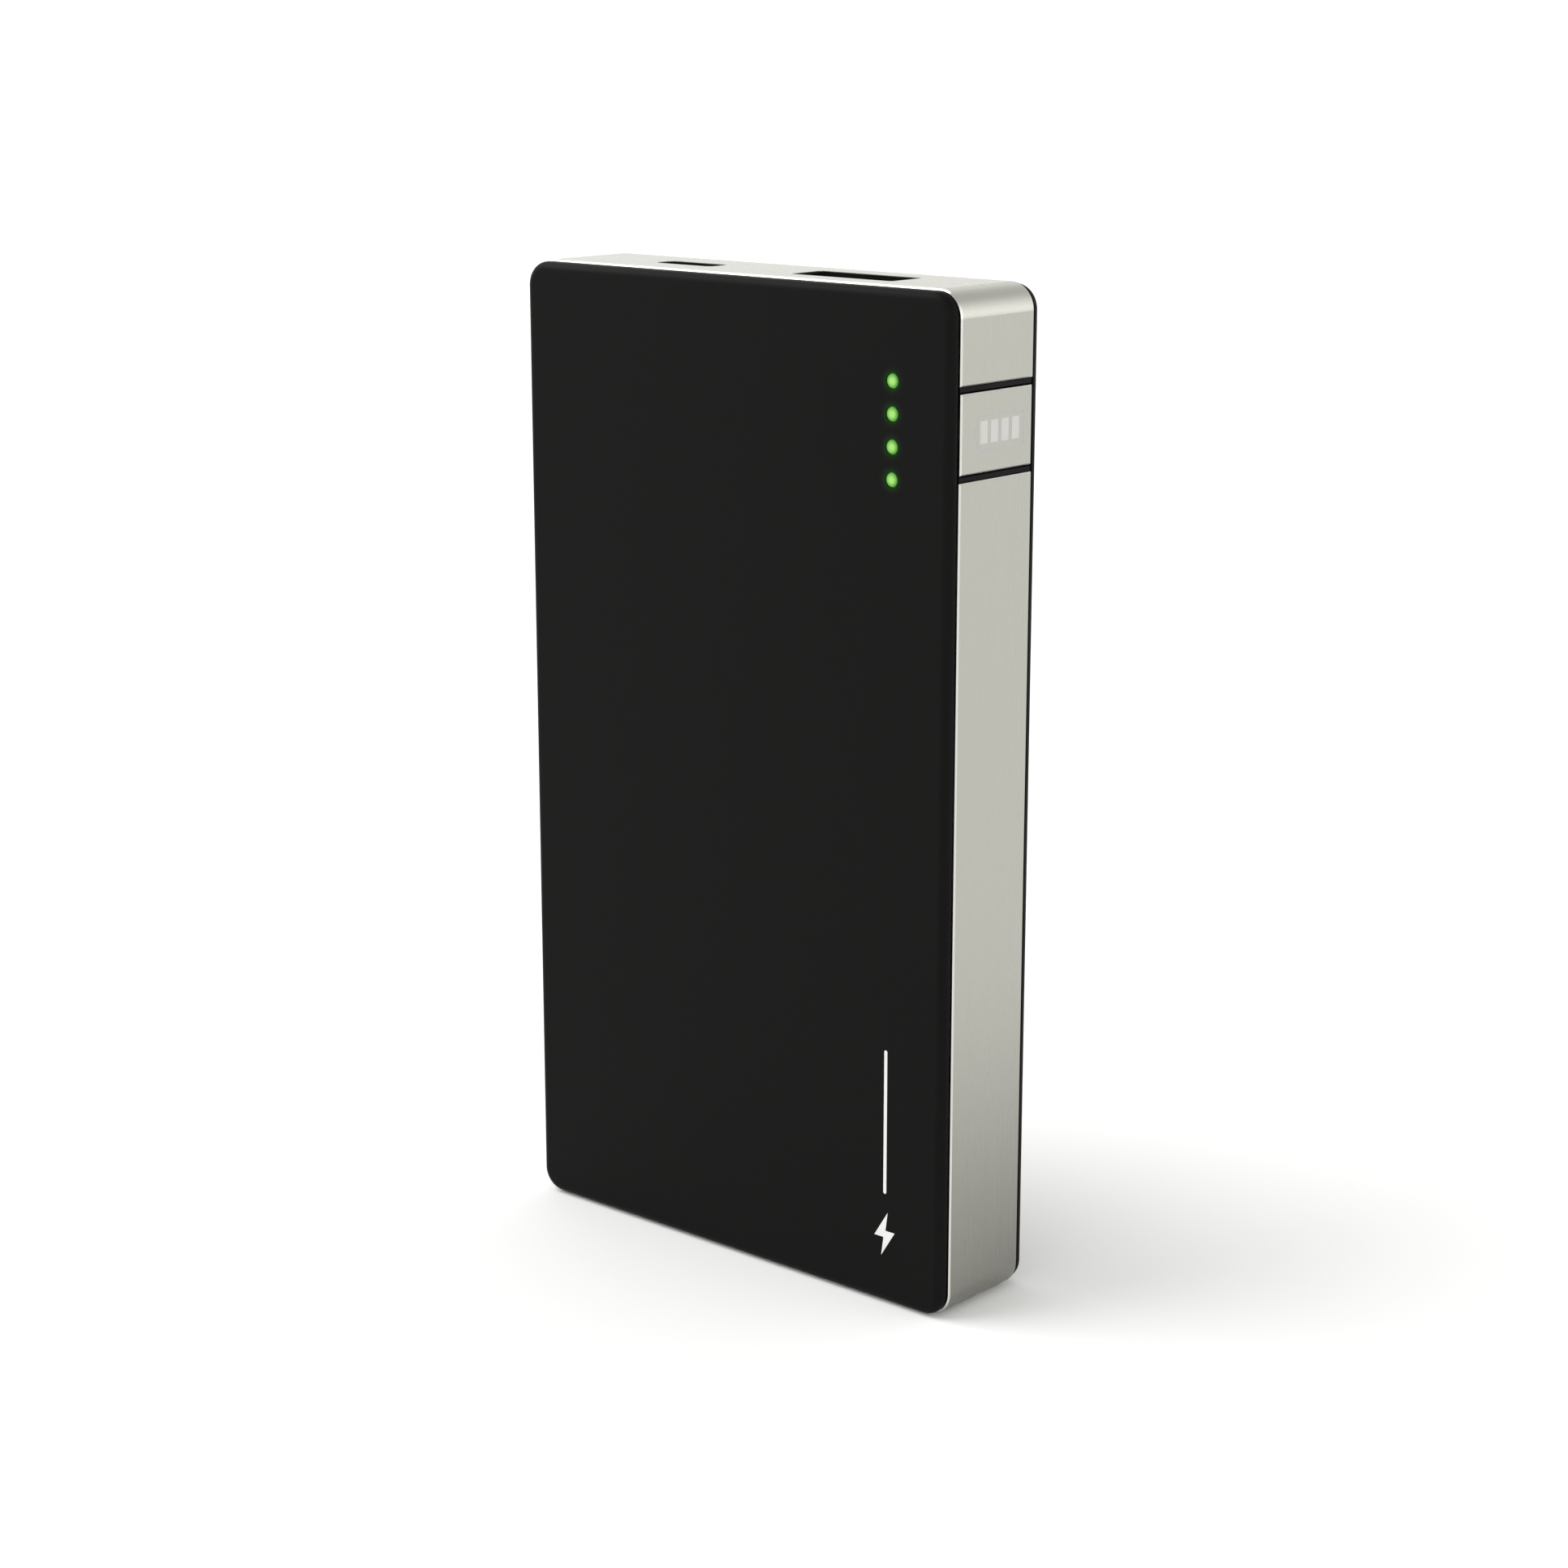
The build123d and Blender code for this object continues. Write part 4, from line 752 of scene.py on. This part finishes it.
def add_spring_bumps(metal):
    """Four long bumps inside the wide socket's shell, which hold the plug."""
    x_middle = middle("usb_a_insulator").x
    wall = span("usb_a_insulator")[1].y + 0.05 * MM
    z = span("usb_a_shell")[1].z - 4.6 * MM
    bump_mesh = turned("spring_bump", BUMP_PROFILE, 20)
    places = []
    for side in (-1, 1):
        turn = Matrix.Rotation(side * math.pi / 2, 4, "X") @ Matrix.Diagonal(BUMP_STRETCH)
        for x in (x_middle - 3.2 * MM, x_middle + 3.2 * MM):
            places.append(Matrix.Translation((x, side * wall, z)) @ turn)
    new_piece("spring_bumps", copies(bump_mesh, places), metal)


class POWERBANK_OT_sockets(Operator):
    """Finish both sockets, and add the pressed bumps of the wide socket's holding springs"""
    bl_idname = "power_bank.sockets"
    bl_label = "Sockets"

    def execute(self, context):
        steel = sheet_metal("Plated Steel", (0.55, 0.54, 0.51), 0.26)
        finish_node(steel, "usb_a_shell", "micro_usb_shell")
        finish_node(sheet_metal("Gold Plate", (0.83, 0.58, 0.22), 0.2), "usb_a_contacts",
                    "micro_usb_contacts")
        finish_node(moulded("Socket Black", (0.004, 0.004, 0.004), 0.45, specular=0.3),
                    "usb_a_insulator", "micro_usb_insulator")
        add_spring_bumps(steel)
        return {"FINISHED"}


def end_boxes(low, high):
    """The corners of the two metal ends of a small chip part, a little proud of it."""
    proud = Vector((0.02, 0.02, 0.02)) * MM
    along = 0 if high.x - low.x > high.z - low.z else 2
    depth = 0.2 * (high[along] - low[along])
    first, second = ([low - proud, high + proud] for _ in range(2))
    first[1][along] = low[along] + depth
    second[0][along] = high[along] - depth
    return first, second


def add_end_caps(metal):
    """The metal ends of every chip capacitor and resistor."""
    caps = bmesh.new()
    for chip in separate_boxes("chip_capacitors") + separate_boxes("chip_resistors"):
        for low, high in end_boxes(*chip):
            place = Matrix.Translation((low + high) / 2) @ Matrix.Diagonal((*(high - low), 1.0))
            bmesh.ops.create_cube(caps, size=1.0, matrix=place)
    round_edges(new_piece("end_caps", caps, metal), 0.06 * MM, 2)


def add_contact_dome(metal):
    """The snap dome behind the plunger: a bowed strip, widest in the middle, that flattens."""
    low, high = span("switch_dome")
    centre = middle("switch_dome")
    rise = high.x - low.x
    columns = []
    for i in range(9):
        run = 2 * i / 8 - 1
        x = high.x - DOME_T / 2 - (rise - DOME_T) * run * run
        half = (high.y - low.y) / 2 * (0.72 + 0.28 * (1 - run * run))
        z = centre.z + run * (high.z - low.z) / 2
        columns.append([(x, side * half, z) for side in (-1, -0.4, 0.4, 1)])
    dome = new_piece("contact_dome", sheet_strip(columns), metal, ("switch_dome",))
    thicken(dome, DOME_T)
    round_edges(dome, 0.015 * MM, 1)
    smooth(dome, 1)
    apply_stack(dome)
    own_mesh(dome)


class POWERBANK_OT_board(Operator):
    """Finish the circuit board, the status switch, and everything soldered to the board"""
    bl_idname = "power_bank.board"
    bl_label = "Circuit Board"

    def execute(self, context):
        tin = sheet_metal("Bright Tin", (0.72, 0.71, 0.68), 0.22)
        finish_node(solder_mask("Green Lacquer", (0.008, 0.075, 0.028)), "main_board", "protection_board")
        finish_node(sheet_metal("Zinc Screws", (0.6, 0.6, 0.6), 0.3), "board_screws")
        finish_node(tin, "inductor_terminals", "charger_chip_legs")
        finish_node(moulded("Switch Black", (0.008, 0.008, 0.009), 0.35), "switch_body")
        finish_node(moulded("Plunger Grey", (0.09, 0.09, 0.095), 0.4), "switch_plunger")
        finish_node(moulded("Ferrite", (0.014, 0.014, 0.016), 0.62, 5000.0, 0.3, 0.05 * MM), "boost_inductor")
        finish_node(moulded("Fired Ceramic", (0.33, 0.2, 0.1), 0.45, 7000.0), "chip_capacitors")
        finish_node(moulded("Resistor Black", (0.008, 0.008, 0.01), 0.3, 7000.0), "chip_resistors")
        finish_node(moulded("Small Chip Black", (0.009, 0.009, 0.01), 0.55, 6000.0), "protection_chips")
        for node in ("power_controller", "charger_chip"):
            low, high = span(node)
            inset = 0.7 * MM
            material = marked(node.replace("_", " ").title(), (0.009, 0.009, 0.01), 0.5,
                              dot_at(low.x + inset, high.z - inset, 0.28 * MM), (0.05, 0.05, 0.052))
            finish_node(material, node)
        low, high = span("protection_diode")
        finish_node(marked("Diode Black", (0.009, 0.009, 0.01), 0.5, stripe_before("Z", low.z + 0.7 * MM),
                           (0.5, 0.5, 0.48)), "protection_diode")
        low, high = span("tantalum_capacitors")
        finish_node(marked("Tantalum Yellow", (0.55, 0.3, 0.03), 0.42, stripe_before("X", low.x + 1.1 * MM),
                           (0.28, 0.07, 0.01)), "tantalum_capacitors")
        finish_node(moulded("Chassis Black", (0.006, 0.006, 0.006), 0.6, specular=0.2), "chassis")
        add_end_caps(tin)
        add_contact_dome(sheet_metal("Spring Steel", (0.6, 0.59, 0.56), 0.18))
        return {"FINISHED"}


# Height, width and depth of the pouch at each level, as shares of the whole.
POUCH_LEVELS = (
    (0.0, 0.93, 0.45), (0.006, 0.975, 0.75), (0.02, 0.99, 0.93), (0.06, 1.0, 0.985), (0.25, 1.0, 0.99),
    (0.5, 1.0, 1.0), (0.75, 1.0, 0.99), (0.94, 1.0, 0.985), (0.98, 0.99, 0.93), (0.994, 0.975, 0.7),
    (1.0, 0.93, 0.3),
)
POUCH_POINTS = 28
POUCH_CORNER = 0.22         # a power: nearer 0 is squarer
PAD_CORNER = 2.0 * MM


def rounder(share):
    """Moves a sine or cosine out towards 1, so that an oval becomes a box with round corners."""
    return math.copysign(abs(share) ** POUCH_CORNER, share)


def pouch_skin(half_x, half_y, base, top):
    """The pouch: rings that swell from the sealed ends to the middle."""
    turns = [2 * math.pi * (i + 0.5) / POUCH_POINTS for i in range(POUCH_POINTS)]
    return loft([[(half_x * width * rounder(math.cos(turn)), half_y * depth * rounder(math.sin(turn)),
                   base + up * (top - base)) for turn in turns] for up, width, depth in POUCH_LEVELS])


def side_flaps(edge, base, top):
    """The two sealed edges, folded up along the sides of the pouch, a little wavy."""
    flaps = bmesh.new()
    for side in (-1, 1):
        columns = []
        for i in range(15):
            z = base + (0.04 + 0.92 * i / 14) * (top - base)
            wave = 0.06 * MM * math.sin(i * 1.9)
            columns.append([(side * (edge - 0.35 * MM + wave * 0.4), -0.2 * MM, z),
                            (side * (edge - 0.12 * MM), 0.6 * MM, z),
                            (side * (edge - 0.1 * MM), 2.2 * MM + wave, z),
                            (side * (edge - 0.16 * MM + wave * 0.4), 3.6 * MM + wave, z)])
        sheet_strip(columns, flaps)
    return flaps


def terrace(half_x, top, end):
    """The flat seal at the top of the pouch, where the tabs come out."""
    columns = []
    for i in range(19):
        x = half_x * (2 * i / 18 - 1)
        dip = 0.05 * MM * math.sin(i * 2.3)
        columns.append([(x, 0.0, top - 1.2 * MM), (x, 0.0, top + 0.3 * MM), (x, dip, (top + end) / 2),
                        (x, dip * 0.5, end)])
    return sheet_strip(columns)


def pad_block(low, high):
    """A foam pad with round corners, before its edges are rounded."""
    right, upper, lower = high.x - PAD_CORNER, high.z - PAD_CORNER, low.z + PAD_CORNER
    outline = []
    for turn, (x, z) in enumerate(((right, upper), (-right, upper), (-right, lower), (right, lower))):
        for step in range(5):
            angle = math.pi / 2 * (turn + step / 4)
            outline.append((x + PAD_CORNER * math.cos(angle), z + PAD_CORNER * math.sin(angle)))
    return loft([[(x, y, z) for x, z in outline] for y in (low.y, high.y)])


class POWERBANK_OT_cell(Operator):
    """Build the foil pouch of the cell, its sealed edges and the foam pads over it"""
    bl_idname = "power_bank.cell"
    bl_label = "Pouch Cell"

    def execute(self, context):
        case = context.scene.power_bank_case
        low, high = span("battery_cell")
        top = span("insulation_tape")[0].z - 0.3 * MM
        foil = pouch_foil("Pouch Foil", case.foil_colour, crimped=False)
        seal = pouch_foil("Sealed Foil", case.foil_colour, crimped=True)
        pouch = new_piece("cell_pouch", pouch_skin(high.x - 0.45 * MM, high.y, low.z, top), foil,
                          ("battery_cell",))
        smooth(pouch, 2)
        crease(pouch, 0.16 * MM, 7 * MM)
        for name, shape, thickness in (
                ("cell_side_seals", side_flaps(high.x, low.z, top), 0.14 * MM),
                ("cell_terrace", terrace(high.x - 2 * MM, top, high.z), 0.3 * MM)):
            piece = new_piece(name, shape, seal)
            thicken(piece, thickness)
            smooth(piece, 1)

        soft = foam("Dark Foam", (0.02, 0.02, 0.022))
        for name, node in (("front_foam_pad", "front_cell_pad"), ("back_foam_pad", "back_cell_pad")):
            pad = new_piece(name, pad_block(*span(node)), soft, (node,))
            round_edges(pad, 0.22 * MM)
        finish_node(sheet_metal("Nickel Tab", (0.66, 0.64, 0.6), 0.24), "cell_tabs")
        finish_node(moulded("Amber Film", (0.42, 0.16, 0.012), 0.18, 900.0, 0.5), "insulation_tape")
        return {"FINISHED"}


# Radius and height of half a solder joint, in millimetres, from its top to its foot.
BLOB_PROFILE = ((0.0, 0.78), (0.3, 0.74), (0.55, 0.52), (0.7, 0.26), (0.86, 0.1), (1.08, 0.02), (1.08, -0.02),
                (0.0, -0.02))
STRANDS = 5
STRAND_RADIUS = 0.14 * MM
STRAND_RING = 0.24 * MM     # from the middle of a lead to the middle of a strand


def lead_ends():
    """Where each lead meets a board: X, the board's face, Z, and which way the lead ends."""
    faces = span("protection_board")[0].y, span("main_board")[0].y
    ends = []
    for node in ("negative_lead", "positive_lead"):
        low, high = span(node)
        ends.append((low.x + LEAD_RADIUS, faces[0], low.z, -1))
        ends.append((high.x - LEAD_RADIUS, faces[1], high.z, 1))
    return ends


def add_strands(ends, metal):
    """The tinned strands at each bared end, as thin twisted wires."""
    curve = bpy.data.curves.new("lead_strands", "CURVE")
    curve.dimensions = "3D"
    curve.bevel_depth, curve.bevel_resolution = STRAND_RADIUS, 2
    curve.use_fill_caps = True
    for x, face, z, way in ends:
        for strand in range(STRANDS):
            line = curve.splines.new("NURBS")
            line.points.add(4)
            for i, point in enumerate(line.points):
                turn = 2 * math.pi * strand / STRANDS + 0.7 * i
                point.co = (x + STRAND_RING * math.cos(turn),
                            face - 0.63 * MM + STRAND_RING * math.sin(turn),
                            z + way * (i * 0.24 - 0.2) * MM, 1.0)
            line.order_u = 3
            line.use_endpoint_u = True
    curve.materials.append(metal)
    strands = bpy.data.objects.new("lead_strands", curve)
    bpy.context.scene.collection.objects.link(strands)
    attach(strands, "housing")


class POWERBANK_OT_wiring(Operator):
    """Finish the two leads, and add their tinned strands and solder joints"""
    bl_idname = "power_bank.wiring"
    bl_label = "Leads"

    def execute(self, context):
        finish_node(moulded("Red Insulation", (0.42, 0.008, 0.006), 0.35, 2500.0, 0.45), "positive_lead")
        finish_node(moulded("Black Insulation", (0.008, 0.008, 0.008), 0.35, 2500.0, 0.45), "negative_lead")
        tin = sheet_metal("Solder Tin", (0.68, 0.67, 0.65), 0.2)
        ends = lead_ends()
        blob = turned("solder_blob", BLOB_PROFILE, 24)
        lay_down = Matrix.Rotation(math.pi / 2, 4, "X")
        places = [Matrix.Translation((x, face, z + way * 0.45 * MM)) @ lay_down for x, face, z, way in ends]
        new_piece("solder_joints", copies(blob, places), tin)
        add_strands(ends, tin)
        return {"FINISHED"}


# ------- stage
# Brightness of the surround by height, from the horizon at 0 to straight up at 1.
LEFT_SKY = ((0.0, 0.95), (0.15, 0.95), (0.19, 0.08), (0.26, 0.08), (0.32, 0.85), (0.52, 0.75), (0.68, 0.3),
            (1.0, 0.34))
RIGHT_SKY = ((0.0, 1.0), (0.08, 1.0), (0.24, 0.9), (0.4, 0.75), (0.52, 0.6), (0.68, 0.3), (1.0, 0.34))
WARMTH = (1.0, 0.995, 0.985)
KEY_AIM = Vector((0.62, 0.42, -0.85))
SENSOR_WIDTH = 36.0


def studio_sky(world, strength):
    """Soft studio surround: a pale horizon and panels overhead, with a dark gap between on the left."""
    world.use_nodes = True
    tree = world.node_tree
    shader = tree.nodes["Background"]
    ways = tree.nodes.new("ShaderNodeTexCoord").outputs["Generated"]
    way = add_node(tree, "ShaderNodeSeparateXYZ", i0=ways)
    levels = []
    for stops in (LEFT_SKY, RIGHT_SKY):
        ramp = add_node(tree, "ShaderNodeValToRGB", Fac=way.outputs["Z"])
        elements = ramp.color_ramp.elements
        while len(elements) < len(stops):
            elements.new(0.5)
        for element, (place, level) in zip(elements, stops):
            element.position = place
            element.color = (*(level * share for share in WARMTH), 1.0)
        levels.append(ramp.outputs["Color"])
    right = add_node(tree, "ShaderNodeMapRange", {"interpolation_type": "SMOOTHSTEP"}, Value=way.outputs["X"],
                     From_Min=-0.25, From_Max=0.25)
    feed(shader, Color=blend_colours(tree, right.outputs["Result"], *levels))
    shader.inputs["Strength"].default_value = strength


def place_camera(scene, stage):
    """The camera, from its place, turn, dip and lens."""
    camera = bpy.data.cameras.new("Camera")
    camera.lens, camera.sensor_width = stage.camera_lens, SENSOR_WIDTH
    eye = bpy.data.objects.new("Camera", camera)
    eye.location = stage.camera_place
    turn, dip = stage.camera_turn, stage.camera_dip
    ahead = Vector((-math.sin(turn) * math.cos(dip), math.cos(turn) * math.cos(dip), -math.sin(dip)))
    eye.rotation_euler = ahead.to_track_quat("-Z", "Y").to_euler()
    scene.collection.objects.link(eye)
    scene.camera = eye


def lay_floor(scene, stage):
    """A wide pale matte floor under the case."""
    shape = bmesh.new()
    bmesh.ops.create_grid(shape, x_segments=8, y_segments=8, size=stage.floor_size / 2)
    mesh = bpy.data.meshes.new("floor")
    shape.to_mesh(mesh)
    shape.free()
    floor = bpy.data.objects.new("floor", mesh)
    scene.collection.objects.link(floor)
    material, tree, shader = new_material("Pale Floor", stage.floor_colour, 0.8, Specular_IOR_Level=0.1)
    tone = add_node(tree, "ShaderNodeTexNoise", Vector=object_place(tree), Scale=3.0, Detail=2.0)
    feed(shader, Base_Color=mottled(tree, tone.outputs[0], stage.floor_colour, 1.0, 0.99))
    mesh.materials.append(material)
    floor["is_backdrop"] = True


class POWERBANK_OT_stage(Operator):
    """Set up the floor, the soft light and the camera"""
    bl_idname = "power_bank.stage"
    bl_label = "Stage"

    def execute(self, context):
        scene = context.scene
        stage = scene.power_bank_stage
        place_camera(scene, stage)
        lay_floor(scene, stage)
        world = bpy.data.worlds.new("Studio")
        studio_sky(world, stage.sky_strength)
        scene.world = world
        scene.view_settings.view_transform = "Standard"
        lamp = bpy.data.lights.new("Key", "SUN")
        lamp.energy, lamp.angle = stage.sun_strength, stage.sun_width
        key = bpy.data.objects.new("Key", lamp)
        key.rotation_euler = KEY_AIM.to_track_quat("-Z", "Y").to_euler()
        scene.collection.objects.link(key)
        return {"FINISHED"}


class POWERBANK_PT_panel(Panel):
    """Lists the steps that finish the power bank"""
    bl_idname = "POWERBANK_PT_panel"
    bl_label = "Power Bank"
    bl_space_type = "VIEW_3D"
    bl_region_type = "UI"
    bl_category = "Power Bank"

    def draw(self, context):
        column = self.layout.column()
        for step in STEPS:
            column.operator(step.bl_idname)


STEPS = (
    POWERBANK_OT_stage,
    POWERBANK_OT_covers,
    POWERBANK_OT_band,
    POWERBANK_OT_lights,
    POWERBANK_OT_sockets,
    POWERBANK_OT_board,
    POWERBANK_OT_cell,
    POWERBANK_OT_wiring,
)
SETTINGS = (CaseSettings, StageSettings)


def register():
    """Adds the settings, the steps and the panel."""
    for kind in (*SETTINGS, *STEPS, POWERBANK_PT_panel):
        bpy.utils.register_class(kind)
    bpy.types.Scene.power_bank_case = PointerProperty(type=CaseSettings)
    bpy.types.Scene.power_bank_stage = PointerProperty(type=StageSettings)


def unregister():
    """Takes them away again."""
    del bpy.types.Scene.power_bank_stage
    del bpy.types.Scene.power_bank_case
    for kind in reversed((*SETTINGS, *STEPS, POWERBANK_PT_panel)):
        bpy.utils.unregister_class(kind)


def main():
    """Registers the add-on and runs its steps in order."""
    register()
    for step in STEPS:
        area, action = step.bl_idname.split(".")
        getattr(getattr(bpy.ops, area), action)()
    bpy.context.view_layer.update()


if __name__ == "__main__":
    main()
